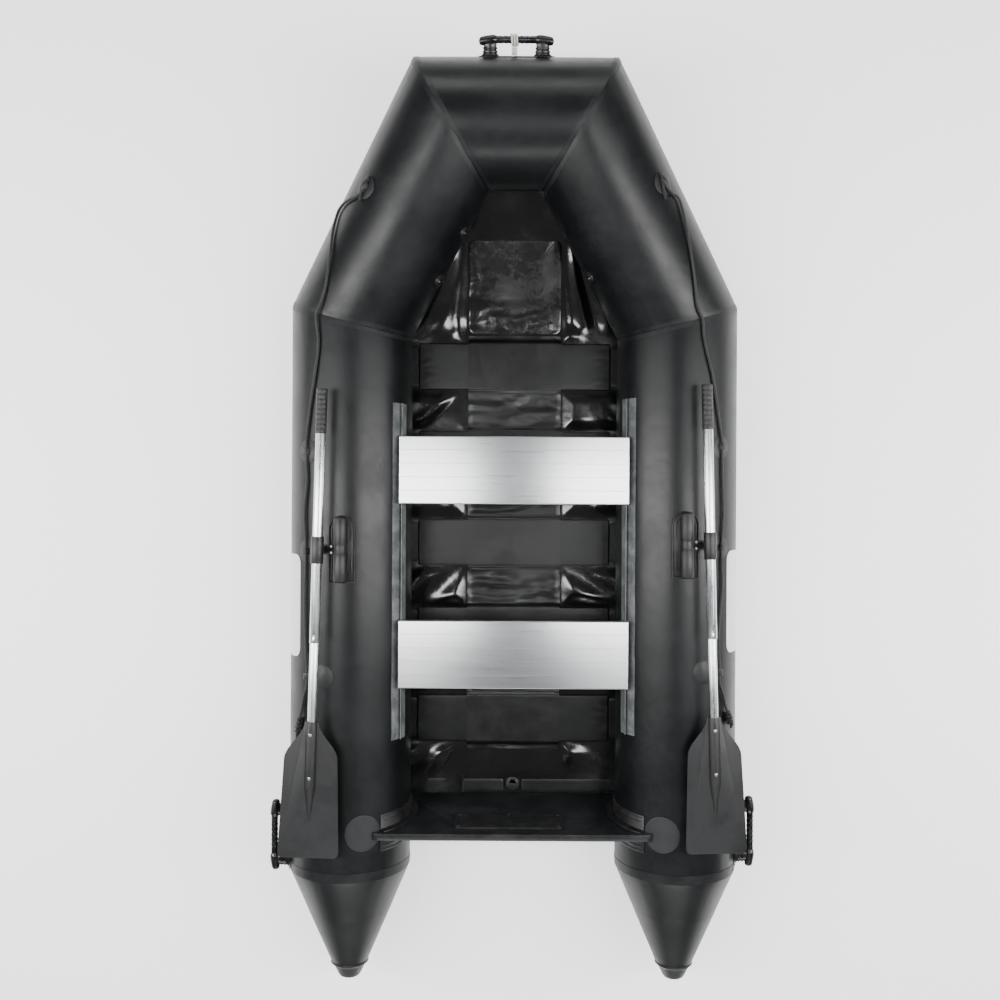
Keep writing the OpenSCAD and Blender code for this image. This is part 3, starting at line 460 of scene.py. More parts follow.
class Shop:
    """The moves that every piece is made with."""

    @staticmethod
    def clear() -> None:
        """Leaves edit mode and selects nothing."""
        if bpy.context.object is not None and bpy.context.object.mode != "OBJECT":
            bpy.ops.object.mode_set(mode="OBJECT")
        bpy.ops.object.select_all(action="DESELECT")

    @classmethod
    def hold(cls, piece: bpy.types.Object) -> None:
        """Selects one piece and makes it active."""
        cls.clear()
        piece.select_set(True)
        bpy.context.view_layer.objects.active = piece

    @classmethod
    @contextmanager
    def editing(cls, piece: bpy.types.Object, action: str = "SELECT") -> Iterator[None]:
        """Opens one piece in edit mode with its whole mesh selected, and closes it again."""
        cls.hold(piece)
        bpy.ops.object.mode_set(mode="EDIT")
        bpy.ops.mesh.select_all(action=action)
        yield
        bpy.ops.object.mode_set(mode="OBJECT")

    @classmethod
    def turned(cls, name: str, profile: Sequence[tuple[float, float]], place: Matrix, sides: int = 48,
               flat: float = 1.0) -> bpy.types.Object:
        """Turns a solid on the lathe by extruding a disc ring by ring.

        Args:
            name: The piece's name.
            profile: Height and radius of each ring, from the foot up.
            place: Where the piece stands, its own Z being the axis.
            sides: Faces round the piece.
            flat: Depth in Y as a share of the width in X.

        Returns:
            The piece, with its place in its mesh.
        """
        cls.clear()
        start, radius = profile[0]
        bpy.ops.mesh.primitive_circle_add(vertices=sides, radius=radius, fill_type="NGON", location=(0, 0, start))
        piece = bpy.context.object
        piece.name = piece.data.name = name
        bpy.ops.object.transform_apply(location=True, rotation=True, scale=True)
        with cls.editing(piece):
            for (low, before), (high, after) in zip(profile, profile[1:]):
                bpy.ops.mesh.extrude_region_move(TRANSFORM_OT_translate={"value": (0, 0, high - low)})
                bpy.ops.transform.resize(value=(after / before, after / before, 1.0))
            bpy.ops.mesh.select_all(action="SELECT")
            bpy.ops.mesh.normals_make_consistent(inside=False)
        piece.data.transform(place @ Matrix.Diagonal((1.0, flat, 1.0, 1.0)))
        cls.smooth(piece)
        return piece

    @classmethod
    def block(cls, name: str, size: Triple, place: Matrix, edge: float, segments: int = 3) -> bpy.types.Object:
        """Cuts a block and rounds its edges."""
        cls.clear()
        bpy.ops.mesh.primitive_cube_add(size=1.0, location=(0, 0, 0))
        piece = bpy.context.object
        piece.name = piece.data.name = name
        piece.data.transform(Matrix.Diagonal((*size, 1.0)))
        cls.round_edges(piece, edge, segments)
        piece.data.transform(place)
        return piece

    @classmethod
    def smooth(cls, piece: bpy.types.Object, angle: float = SMOOTH) -> None:
        """Smooths the faces that meet at less than an angle."""
        cls.hold(piece)
        bpy.ops.object.shade_smooth_by_angle(angle=angle)

    @classmethod
    def modify(cls, piece: bpy.types.Object, kind: str, **settings: object) -> None:
        """Adds a modifier and applies it."""
        cls.hold(piece)
        made = piece.modifiers.new(kind.title(), kind)
        for key, value in settings.items():
            setattr(made, key, value)
        bpy.ops.object.modifier_apply(modifier=made.name)

    @classmethod
    def round_edges(cls, piece: bpy.types.Object, width: float, segments: int = 2, angle: float = 40.0) -> None:
        """Bevels the sharp edges."""
        cls.modify(piece, "BEVEL", width=width, segments=segments, limit_method="ANGLE",
                   angle_limit=math.radians(angle), use_clamp_overlap=True, harden_normals=False)
        cls.smooth(piece)

    @classmethod
    def copy_node(cls, node: str, name: str, edge: float = 0.0) -> bpy.types.Object:
        """Takes a merged copy of a CAD node and rounds its edges.

        Args:
            node: The CAD node.
            name: The copy's name.
            edge: Width of the rounding, or 0 for none.

        Returns:
            The copy.
        """
        cls.clear()
        piece = bpy.data.objects.new(name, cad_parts[node].data.copy())
        piece.data.name = name
        piece.data.materials.clear()
        bpy.context.scene.collection.objects.link(piece)
        with cls.editing(piece):
            bpy.ops.mesh.remove_doubles(threshold=MERGE)
            bpy.ops.mesh.dissolve_limited(angle_limit=COPLANAR)
        if piece.data.has_custom_normals:
            bpy.ops.mesh.customdata_custom_splitnormals_clear()
        if edge:
            cls.round_edges(piece, edge)
        else:
            cls.smooth(piece)
        return piece

    @classmethod
    def join(cls, name: str, pieces: Sequence[bpy.types.Object]) -> bpy.types.Object:
        """Joins pieces into one object."""
        cls.clear()
        for piece in pieces:
            piece.select_set(True)
        bpy.context.view_layer.objects.active = pieces[0]
        bpy.ops.object.join()
        pieces[0].name = pieces[0].data.name = name
        return pieces[0]

    @staticmethod
    def dress(piece: bpy.types.Object, body: str, paint: Paint, *nodes: str) -> bpy.types.Object:
        """Gives a piece its finish and its body, and hides the CAD nodes that it stands for."""
        piece.data.materials.clear()
        piece.data.materials.append(paint.material())
        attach(piece, body)
        if nodes:
            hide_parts(*nodes)
        log.info("%s: %d faces on %s", piece.name, len(piece.data.polygons), body)
        return piece

    @staticmethod
    def shift(piece: bpy.types.Object, move: Callable[[Vector], Vector]) -> None:
        """Moves every point of a piece by a rule."""
        for vertex in piece.data.vertices:
            vertex.co = move(vertex.co.copy())
        piece.data.update()


# ---------------------------------------------------------------- the boat's lines


@dataclass(frozen=True)
class Lines:
    """The tube line of one half of the boat, and places on its surface.

    Attributes:
        radius: Radius of the air tubes.
        tail: Start of the starboard side tube.
        shoulder: Where the side tube turns into the bow tube.
        corner: Where the bow tube meets the front tube.
        stagger: How far the starboard fittings sit forward of the middle.
    """

    radius: float = 0.205
    tail: Vector = field(default_factory=lambda: Vector((0.558, -1.169, 0.205)))
    shoulder: Vector = field(default_factory=lambda: Vector((0.558, 0.694078, 0.205)))
    corner: Vector = field(default_factory=lambda: Vector((0.2065, 1.301078, 0.405)))
    stagger: float = 0.010

    @property
    def bow_dir(self) -> Vector:
        """Direction of the starboard bow tube."""
        return (self.corner - self.shoulder).normalized()

    @property
    def slope(self) -> float:
        """Angle at which the bow tubes rise."""
        rise = self.corner - self.shoulder
        return math.atan2(rise.z, rise.y)

    def bow_axes(self) -> tuple[Vector, Vector]:
        """Directions up from and out of the bow tube."""
        up = Vector((0.0, -math.sin(self.slope), math.cos(self.slope)))
        return up, self.bow_dir.cross(up)

    def beside(self, ahead: float, turn: float, lift: float = 0.0) -> Vector:
        """Point beside the side tube: ahead of the shoulder, turned outward from the top."""
        out = self.radius + lift
        return self.shoulder + Vector((out * math.sin(turn), ahead, out * math.cos(turn)))

    def above_bow(self, ahead: float, turn: float, lift: float = 0.0) -> Vector:
        """Point beside the bow tube."""
        up, out = self.bow_axes()
        around = up * math.cos(turn) + out * math.sin(turn)
        return self.shoulder + self.bow_dir * ahead + around * (self.radius + lift)

    def seat(self, ahead: float, turn: float) -> Matrix:
        """Frame on the starboard tube: Z out of the fabric, Y along the tube.

        Args:
            ahead: Distance forward of the shoulder.
            turn: Angle outward from the top, in radians.

        Returns:
            The frame's matrix.
        """
        if ahead > 0:
            up, out = self.bow_axes()
            along, place = self.bow_dir, self.above_bow(ahead, turn)
            normal = up * math.cos(turn) + out * math.sin(turn)
        else:
            along, place = Vector((0, 1, 0)), self.beside(ahead, turn)
            normal = Vector((math.sin(turn), 0, math.cos(turn)))
        across = along.cross(normal)
        return Matrix.Translation(place) @ Matrix((across, along, normal)).transposed().to_4x4()


LINES = Lines()
MIRROR = Matrix.Diagonal((-1.0, 1.0, 1.0, 1.0))


class Side(Enum):
    """The two sides of the boat."""

    PORT = "port"
    STARBOARD = "starboard"

    @property
    def sign(self) -> float:
        """-1 to port, 1 to starboard."""
        return -1.0 if self is Side.PORT else 1.0

    def point(self, place: Vector) -> Vector:
        """Brings a starboard point to this side."""
        return Vector((place.x * self.sign, place.y, place.z))

    def send(self, piece: bpy.types.Object) -> bpy.types.Object:
        """Brings a piece that was made to starboard to this side, right way out."""
        if self is Side.PORT:
            piece.data.transform(MIRROR)
            with Shop.editing(piece):
                bpy.ops.mesh.flip_normals()
            Shop.smooth(piece)
        return piece

    def fitted(self, piece: bpy.types.Object) -> bpy.types.Object:
        """As send, with the little step forward or aft that this side's fittings have."""
        piece = self.send(piece)
        piece.data.transform(Matrix.Translation((0.0, self.sign * LINES.stagger, 0.0)))
        return piece


# ---------------------------------------------------------------- studio and cords


@dataclass
class Studio:
    """Pale floor, soft light and the camera overhead.

    Attributes:
        eye: Place of the camera.
        lens: Focal length on a 36 mm sensor, in millimetres.
        shift: Sideways shift of the picture.
        roll: Turn of the camera about its view.
        floor: Colour of the floor.
        sky: Brightness of the pale sky.
        glow: Light that the floor gives off by itself.
        lamps: Name, place, size and power of each soft lamp.
    """

    eye: Triple = (0.0, 0.082, 3.705)
    lens: float = 36.5
    shift: float = -0.014
    roll: float = 0.0054
    floor: Triple = (0.93, 0.93, 0.93)
    sky: float = 0.20
    glow: float = 0.90
    lamps: tuple[tuple[str, Triple, tuple[float, float], float], ...] = (
        ("lamp_port", (-2.9, 0.0, 3.3), (0.9, 5.0), 260.0),
        ("lamp_starboard", (2.9, 0.0, 3.3), (0.9, 5.0), 260.0),
        ("lamp_bow", (0.0, 4.6, 3.0), (4.0, 1.0), 80.0),
        ("lamp_stern", (0.0, -4.6, 3.0), (4.0, 1.0), 110.0),
    )

    def build(self) -> None:
        """Sets up everything that isn't the boat."""
        self._camera()
        self._ground()
        self._lights()
        log.info("studio ready")

    def _camera(self) -> None:
        """Adds the camera, looking straight down with the bow at the top."""
        lens = bpy.data.cameras.new("camera")
        lens.lens, lens.sensor_width, lens.shift_x = self.lens, 36.0, self.shift
        lens.clip_end = 60.0
        camera = bpy.data.objects.new("camera", lens)
        camera.location = self.eye
        camera.rotation_euler = (0.0, 0.0, self.roll)
        bpy.context.scene.collection.objects.link(camera)
        bpy.context.scene.camera = camera

    def _ground(self) -> None:
        """Adds the pale floor."""
        Shop.clear()
        bpy.ops.mesh.primitive_plane_add(size=60.0, location=(0.0, 0.0, -0.001))
        ground = bpy.context.object
        ground.name = "studio_floor"
        graph = Graph("studio_floor")
        graph.feed(base_color=self.floor, roughness=0.75, emission_color=(1.0, 1.0, 1.0), emission_strength=self.glow)
        ground.data.materials.append(graph.material)

    def _lights(self) -> None:
        """Adds a pale sky and three soft lamps."""
        world = bpy.data.worlds.new("studio")
        world.use_nodes = True
        sky = world.node_tree.nodes["Background"]
        sky.inputs["Color"].default_value = (1.0, 1.0, 1.0, 1.0)
        sky.inputs["Strength"].default_value = self.sky
        bpy.context.scene.world = world
        for name, place, size, power in self.lamps:
            lamp = bpy.data.lights.new(name, "AREA")
            lamp.shape = "RECTANGLE"
            lamp.size, lamp.size_y, lamp.energy = *size, power
            light = bpy.data.objects.new(name, lamp)
            light.location = place
            light.rotation_euler = (Vector((0, 0, 0.2)) - Vector(place)).to_track_quat("-Z", "Y").to_euler()
            bpy.context.scene.collection.objects.link(light)


def catmull(points: Sequence[Sequence[float]], steps: int) -> list[Vector]:
    """Walks a smooth curve through points, as the part's source does.

    Args:
        points: The points that the curve passes.
        steps: Number of equal shares of the curve's parameter.

    Returns:
        steps + 1 points of the curve.
    """
    last = len(points) - 1
    walked = []
    for step in range(steps + 1):
        t = step / steps * last
        i = min(int(t), last - 1)
        f = t - i
        a, b, c, d = (Vector(points[min(max(k, 0), last)]) for k in (i - 1, i, i + 1, i + 2))
        bend, twist = 2 * a - 5 * b + 4 * c - d, 3 * b - a - 3 * c + d
        walked.append(0.5 * (2 * b + (c - a) * f + bend * f * f + twist * f ** 3))
    return walked


@dataclass
class GrabLine:
    """A grab line that runs through its guides and ends in a fat knot.

    Attributes:
        side: The side that it runs along.
        route: Its points: millimetres forward of the shoulder, and degrees outward from the top.
        bore: Radius of the rope.
        lift: Height of its middle above the tube.
        knot: Radius of the end knot.
        knot_rings: Points of the route that the knot takes up.
        passing: Half the length over which the route turns at the shoulder.
        wound: Turns of rope in the knot.
        hitched: Turns of rope round the eye.
    """

    side: Side
    route: tuple[tuple[float, float], ...]
    bore: float = 0.0045
    lift: float = 0.0065
    knot: float = 0.015
    knot_rings: int = 2
    passing: float = 0.070
    wound: float = 4.2
    hitched: float = 2.2

    def _at(self, ahead: float, turn: float, lift: float) -> Vector:
        """Point of the route, passing smoothly from the side tube to the bow tube."""
        share = smooth_step(ahead, -self.passing, self.passing)
        return LINES.beside(ahead, turn, lift).lerp(LINES.above_bow(ahead, turn, lift), share)

    def line(self) -> list[Vector]:
        """The rope's middle from its eye to its knot."""
        places = []
        steps = 2 * (len(self.route) - 1)
        for step, point in enumerate(catmull([(u, a, 0.0) for u, a in self.route], steps)):
            lift = self.lift + 0.005 * math.exp(-((point.x / 60.0) ** 2))
            if step > steps - self.knot_rings:
                lift += self.knot - self.lift + 0.001
            places.append(self.side.point(self._at(point.x * MM, math.radians(point.y), lift)))
        return places

    @staticmethod
    def sweep(name: str, line: Sequence[Vector], radius: float, sides: int = 12,
              swell: Callable[[float], float] | None = None) -> bpy.types.Object:
        """Sweeps a rope along a line, with a UV map whose V is its length over its girth.

        Args:
            name: The piece's name.
            line: The rope's middle.
            radius: The rope's radius.
            sides: Faces round the rope.
            swell: Share of the radius by the share of the length, or None.

        Returns:
            The rope.
        """
        form = bmesh.new()
        layer = form.loops.layers.uv.new("rope")
        rings, lengths = [], [0.0]
        across = None
        for i, place in enumerate(line):
            ahead = (line[min(i + 1, len(line) - 1)] - line[max(i - 1, 0)]).normalized()
            if across is None:
                across = ahead.orthogonal().normalized()
            across = (across - ahead * across.dot(ahead)).normalized()
            other = ahead.cross(across)
            wide = radius * (swell(i / (len(line) - 1)) if swell else 1.0)
            rings.append([
                form.verts.new(place + (across * math.cos(TAU * k / sides) + other * math.sin(TAU * k / sides)) * wide)
                for k in range(sides)])
            if i:
                lengths.append(lengths[-1] + (place - line[i - 1]).length)
        for i in range(len(rings) - 1):
            for k in range(sides):
                after = (k + 1) % sides
                face = form.faces.new((rings[i][k], rings[i][after], rings[i + 1][after], rings[i + 1][k]))
                corners = ((k, i), (k + 1, i), (k + 1, i + 1), (k, i + 1))
                for loop, (turn, ring) in zip(face.loops, corners):
                    loop[layer].uv = (turn / sides, lengths[ring] / (TAU * radius))
        form.faces.new(list(reversed(rings[0])))
        form.faces.new(rings[-1])
        mesh = bpy.data.meshes.new(name)
        form.to_mesh(mesh)
        form.free()
        piece = bpy.data.objects.new(name, mesh)
        bpy.context.scene.collection.objects.link(piece)
        Shop.smooth(piece, math.radians(60.0))
        return piece

    def _knot(self, line: Sequence[Vector]) -> bpy.types.Object:
        """The stopper knot: turns of rope wound round the last length."""
        foot, head = line[-3], line[-1]
        along = head - foot
        middle = foot.lerp(head, 0.56)
        place = aim(along, middle)
        points = 110
        wound = []
        for i in range(points + 1):
            share = i / points
            bulge = 0.72 + 0.28 * math.sin(math.pi * share)
            out = (self.knot - self.bore) * 0.86 * bulge
            wound.append(place @ Vector((
                out * math.cos(TAU * self.wound * share),
                out * math.sin(TAU * self.wound * share),
                (share - 0.5) * along.length * 0.62)))
        return self.sweep(f"{self.side.value}_grab_line_knot", wound, self.bore * 0.98, 10)

    def _eye(self, line: Sequence[Vector]) -> list[bpy.types.Object]:
        """The eye through the first guide, tied off with two turns and a short tail."""
        base = line[0]
        ahead = (line[1] - line[0]).normalized()
        name = self.side.value
        normal = (base - self.side.point(LINES.shoulder)).normalized()
        out = ahead.cross(normal).normalized()
        tied = []
        for i in range(41):
            share = i / 40
            turn = TAU * self.hitched * share
            tied.append(base + ahead * (0.026 + 0.016 * share)
                        + (out * math.cos(turn) + normal * math.sin(turn)) * 0.0086)
        hitch = self.sweep(f"{name}_grab_line_hitch", tied, self.bore * 0.92, 10)
        tail_points = [base + ahead * (0.034 + 0.05 * t) + out * (0.010 + 0.022 * t * self.side.sign)
                       + normal * (0.004 - 0.003 * t) for t in (i / 12 for i in range(13))]
        tail = self.sweep(f"{name}_grab_line_tail", tail_points, self.bore * 0.92, 10)
        return [hitch, tail]

    def build(self) -> None:
        name = self.side.value
        route = self.line()
        fine = catmull(route, 6 * (len(route) - 1))
        rope = self.sweep(f"{name}_grab_line_rope", fine, self.bore)
        Shop.dress(rope, HULL, Paint.BLACK_ROPE, f"{name}_grab_line")
        extras = [self._knot(route), *self._eye(route)]
        for extra in extras:
            Shop.dress(extra, HULL, Paint.BLACK_ROPE)
        length = sum((b - a).length for a, b in zip(fine, fine[1:]))


PORT_ROUTE = (
    (468, 45), (449, 45), (430, 45), (411, 45), (390, 49), (365, 58), (310, 68), (200, 48), (100, 34), (0, 26),
    (-80, 23), (-150, 24), (-300, 31), (-400, 35.5), (-436, 36), (-454, 36), (-472, 36), (-500, 36),
    (-560, 35), (-650, 38), (-748, 36.2), (-766, 36), (-784, 36), (-802, 36), (-860, 36.5), (-950, 37),
    (-1080, 36), (-1156, 34.3), (-1174, 34), (-1192, 34), (-1210, 34), (-1230, 34.5), (-1310, 41), (-1400, 44))
STARBOARD_ROUTE = (
    (488, 45), (469, 45), (450, 45), (431, 45), (408, 48), (375, 54), (263, 42), (120, 26), (50, 18),
    (-30, 14), (-120, 18), (-210, 25), (-327, 31), (-398, 35), (-416, 36), (-434, 36), (-452, 36),
    (-480, 36.2), (-560, 37), (-650, 38), (-728, 36.3), (-746, 36), (-764, 36), (-782, 36), (-830, 36.4),
    (-900, 37), (-1010, 33.5), (-1080, 33), (-1136, 33.6), (-1154, 34), (-1172, 34), (-1190, 34),
    (-1210, 34.5), (-1290, 43), (-1360, 48))


# ---------------------------------------------------------------- air tubes


@dataclass
class AirTubes:
    """The seven air tubes, pulled in and puckered beside their seams, and their tapes.

    Attributes:
        sides: Faces round a tube.
        fine: Ring spacing beside a seam.
        coarse: Ring spacing elsewhere.
        near: How far from a seam the rings are fine.
        spare: Length that a tube has past its mitres until it is cut.
        tuck: Depth of the valley at a seam.
        pucker: Depth of the puckers.
        tuck_reach: How far the valley reaches.
        pucker_reach: How far the puckers reach.
        swell: Depth of the broad unevenness elsewhere.
        cone: Length of a tail cone without its cap.
        cap_radius: Radius where the moulded cap starts.
        tip_radius: Radius of the cap's blunt end.
        cap: Length of the cap.
        tape: Width of a tape.
        tape_lift: Gap between tube and tape.
        tape_wall: Thickness of a tape.
        tape_foot: Height above the ground where the tapes end.
    """

    sides: int = 144
    fine: float = 0.007
    coarse: float = 0.045
    near: float = 0.16
    spare: float = 0.13
    tuck: float = 0.0016
    pucker: float = 0.0034
    tuck_reach: float = 0.009
    pucker_reach: float = 0.05
    swell: float = 0.0006
    cone: float = 0.332
    cap_radius: float = 0.0628
    tip_radius: float = 0.038
    cap: float = 0.058
    tape: float = 0.030
    tape_lift: float = 0.0001
    tape_wall: float = 0.001
    tape_foot: float = 0.016

    def _rings(self, low: float, high: float, ends: tuple[float, float]) -> list[float]:
        """Places of the rings: close together near both seams."""
        places, at = [low], low
        while at < high:
            gap = min(abs(at - end) for end in ends)
            at += self.fine if gap < self.near else self.coarse
            places.append(min(at, high))
        return places

    def settle(self, place: Vector, axis: tuple[Vector, Vector], seams: Sequence[tuple[Vector, Vector]]) -> Vector:
        """Pulls a point of a tube in where a seam gathers the fabric.

        Args:
            place: The point.
            axis: A point of the tube's axis and its direction.
            seams: A point and a normal for each seam's plane.

        Returns:
            The new place.
        """
        start, along = axis
        centre = start + along * (place - start).dot(along)
        out = place - centre
        if out.length < 0.7 * LINES.radius:
            return place
        turn = out.normalized()
        depth = 0.0
        for co, normal in seams:
            gap = abs((place - co).dot(normal))
            ripple = 0.5 + 0.5 * noise.noise(turn * 9.0 + co * 3.0)
            ripple *= 0.55 + 0.9 * abs(noise.noise(turn * 26.0 + normal * 2.0))
            depth += self.tuck * math.exp(-gap / self.tuck_reach)
            depth += self.pucker * ripple * math.exp(-gap / self.pucker_reach) * (gap / (gap + 0.012))
        depth += self.swell * (0.5 + 0.5 * noise.noise(place * 3.1))
        return place - turn * depth

    def run(self, name: str, ends: tuple[Vector, Vector], seams: Sequence[tuple[Vector, Vector]],
            cuts: Sequence[tuple[Vector, Vector]], lift: float = 0.0) -> bpy.types.Object:
        """Makes one straight tube and cuts it on the planes.

        Args:
            name: The piece's name.
            ends: Both ends of its axis.
            seams: A point and a normal for each seam that gathers it.
            cuts: A point and a normal for each cut; what lies along the normal goes.
            lift: How far the surface stands off the tube's.

        Returns:
            The tube, closed at its cuts.
        """
        start, end = ends
        length = (end - start).length
        spare = self.spare if len(cuts) > 1 else 0.0
        rings = self._rings(-spare, length + self.spare, (0.0, length))
        place = aim(end - start, start)
        tube = Shop.turned(name, [(at, LINES.radius + lift) for at in rings], place, self.sides)
        for co, normal in cuts:
            self.cut(tube, co, normal)
        axis = (start, (end - start).normalized())
        Shop.shift(tube, lambda p: self.settle(p, axis, seams))
        return tube

    @staticmethod
    def cut(piece: bpy.types.Object, co: Vector, normal: Vector, fill: bool = True) -> None:
        """Cuts a piece on a plane and throws away what lies along the normal."""
        with Shop.editing(piece):
            bpy.ops.mesh.bisect(plane_co=co, plane_no=normal, use_fill=fill, clear_outer=True)

    @property
    def shoulder_cut(self) -> tuple[Vector, Vector]:
        """Mitre plane between the side tube and the bow tube."""
        return LINES.shoulder, (Vector((0, 1, 0)) + LINES.bow_dir).normalized()

    @property
    def corner_cut(self) -> tuple[Vector, Vector]:
        """Mitre plane between the bow tube and the front tube."""
        return LINES.corner, (LINES.bow_dir + Vector((-1, 0, 0))).normalized()

    def _side(self, side: Side) -> None:
        """Makes one side tube, bow tube, tail cone and cap."""
        name = side.value
        shoulder, first = self.shoulder_cut
        corner, second = self.corner_cut
        tail_seam = (LINES.tail, Vector((0, 1, 0)))
        tube = self.run(f"{name}_side_tube_skin", (LINES.tail, LINES.shoulder),
                        (tail_seam, self.shoulder_cut), ((shoulder, first),))
        Shop.dress(side.send(tube), HULL, Paint.TUBE_FABRIC, f"{name}_side_tube")
        bow = self.run(f"{name}_bow_tube_skin", (LINES.shoulder, LINES.corner),
                       (self.shoulder_cut, self.corner_cut), ((shoulder, -first), (corner, second)))
        Shop.dress(side.send(bow), HULL, Paint.TUBE_FABRIC, f"{name}_bow_tube")
        self._cone(side, tail_seam)
        self._cap(side)

    def _cone(self, side: Side, seam: tuple[Vector, Vector]) -> None:
        """Makes a tail cone with its own puckers."""
        rings = self._rings(0.0, self.cone, (0.0, 0.0))
        fall = (LINES.radius - self.cap_radius) / self.cone
        place = aim(Vector((0, -1, 0)), LINES.tail)
        cone = Shop.turned(f"{side.value}_tail_cone_skin", [(at, LINES.radius - at * fall) for at in rings],
                           place, self.sides)
        Shop.shift(cone, lambda p: self.settle(p, (LINES.tail, Vector((0, 1, 0))), (seam,)))
        Shop.dress(side.send(cone), HULL, Paint.TUBE_FABRIC, f"{side.value}_tail_cone")

    def _cap(self, side: Side) -> None:
        """Makes a moulded tail cap: a rolled rim, a straight taper and a blunt end."""
        base, tip, long = self.cap_radius, self.tip_radius, self.cap
        profile = [(0.0, base), (0.002, base + 0.0016), (0.006, base + 0.0018), (0.008, base - 0.001)]
        for i in range(1, 9):
            at = 0.008 + (long - 0.022) * i / 8
            profile.append((at, base + (tip - base) * at / (long - 0.008) - 0.001))
        profile += [(long - 0.009, tip - 0.001), (long - 0.005, tip - 0.004), (long - 0.002, tip - 0.009),
                    (long, tip - 0.016), (long, 0.006), (long, 0.0006)]
        place = aim(Vector((0, -1, 0)), LINES.tail - Vector((0, self.cone, 0)))
        cap = Shop.turned(f"{side.value}_tail_cap_shell", profile, place, 96)
        Shop.dress(side.send(cap), HULL, Paint.MOULDED_CAP)

    def _front(self) -> None:
        """Makes the front tube."""
        corner, normal = self.corner_cut
        other = Vector((-corner.x, corner.y, corner.z))
        mirrored = Vector((-normal.x, normal.y, normal.z))
        tube = self.run("front_tube_skin", (corner, other), (self.corner_cut, (other, mirrored)),
                        ((corner, -normal), (other, -mirrored)))
        Shop.dress(tube, HULL, Paint.TUBE_FABRIC, "front_tube")

    def _tape(self, side: Side, name: str, ends: tuple[Vector, Vector], seam: tuple[Vector, Vector],
              toward: float) -> None:
        """Makes one welded tape that lies beside a mitre, on one side of it."""
        co, normal = seam
        half = self.tape / 2
        lift = self.tape_lift + self.tape_wall
        far = co + normal * toward * half
        near = co + normal * toward * 0.0001
        tape = self.run(name, ends, (seam,), ((near, -normal * toward), (far, normal * toward)), lift)
        with Shop.editing(tape, "DESELECT"):
            pass
        for face in tape.data.polygons:
            face.select = abs(face.normal.dot(normal)) > 0.9 and face.area > 0.01
        bpy.ops.object.mode_set(mode="EDIT")
        bpy.ops.mesh.delete(type="ONLY_FACE")
        bpy.ops.object.mode_set(mode="OBJECT")
        self.cut(tape, Vector((0, 0, self.tape_foot)), Vector((0, 0, -1)), fill=False)
        Shop.modify(tape, "SOLIDIFY", thickness=self.tape_wall, offset=-1.0)
        Shop.smooth(tape)
        Shop.dress(side.send(tape), HULL, Paint.SEAM_TAPE)

    def _tapes(self) -> None:
        """Makes every tape of the boat."""
        for side in Side:
            name = side.value
            for seam, place, before, after in (
                ("shoulder", self.shoulder_cut, (LINES.tail, LINES.shoulder), (LINES.shoulder, LINES.corner)),
                ("corner", self.corner_cut, (LINES.shoulder, LINES.corner),
                 (LINES.corner, Vector((0.0, LINES.corner.y, LINES.corner.z)))),
            ):
                self._tape(side, f"{name}_{seam}_tape_aft", before, place, -1.0)
                self._tape(side, f"{name}_{seam}_tape_fore", after, place, 1.0)
            self._tail_tape(side)

    def _tail_tape(self, side: Side) -> None:
        """Makes the round tape at a cone's base."""
        outer = LINES.radius + self.tape_lift + self.tape_wall
        rings = [(i * self.tape / 6, outer) for i in range(7)]
        tape = Shop.turned(f"{side.value}_tail_tape", rings, aim(Vector((0, 1, 0)), LINES.tail), self.sides)
        Shop.shift(tape, lambda p: self.settle(p, (LINES.tail, Vector((0, 1, 0))), ((LINES.tail, Vector((0, 1, 0))),)))
        self.cut(tape, Vector((0, 0, self.tape_foot)), Vector((0, 0, -1)))
        Shop.dress(side.send(tape), HULL, Paint.SEAM_TAPE)

    def build(self) -> None:
        """Makes the tubes, cones, caps and tapes."""
        for side in Side:
            self._side(side)
        self._front()
        self._tapes()
        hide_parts("seam_tapes")
        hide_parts("tail_caps")


# ---------------------------------------------------------------- fabric laid on the boat


def grid(name: str, columns: int, rows: int) -> bpy.types.Object:
    """Adds a unit grid from (0, 0) to (1, 1), to be shaped by a rule."""
    Shop.clear()
    bpy.ops.mesh.primitive_grid_add(x_subdivisions=columns, y_subdivisions=rows, size=1.0, location=(0, 0, 0))
    piece = bpy.context.object
    piece.name = piece.data.name = name
    piece.data.transform(Matrix.Translation((0.5, 0.5, 0.0)))
    return piece


def ridges(place: Vector, scale: float, sharp: float = 3.0) -> float:
    """Rounded crests between 0 and 1, as folds of fabric have."""
    return max(0.0, 1.0 - (2.2 * noise.noise(place * scale)) ** 2) ** sharp


def smooth_step(value: float, low: float, high: float) -> float:
    """Rises smoothly from 0 at low to 1 at high."""
    share = min(1.0, max(0.0, (value - low) / (high - low)))
    return share * share * (3.0 - 2.0 * share)


def wrap(piece: bpy.types.Object, ahead: float, turn: float) -> None:
    """Bends a flat piece round the starboard tube.

    Args:
        piece: The piece: X across the tube, Y along it, Z off its surface.
        ahead: Distance of the piece's middle forward of the shoulder.
        turn: Angle of its middle outward from the top, in radians.
    """
    def bend(p: Vector) -> Vector:
        """Lays one point on the tube."""
        place = LINES.above_bow if ahead > 0 else LINES.beside
        return place(ahead + p.y, turn + p.x / LINES.radius, p.z)

    Shop.shift(piece, bend)


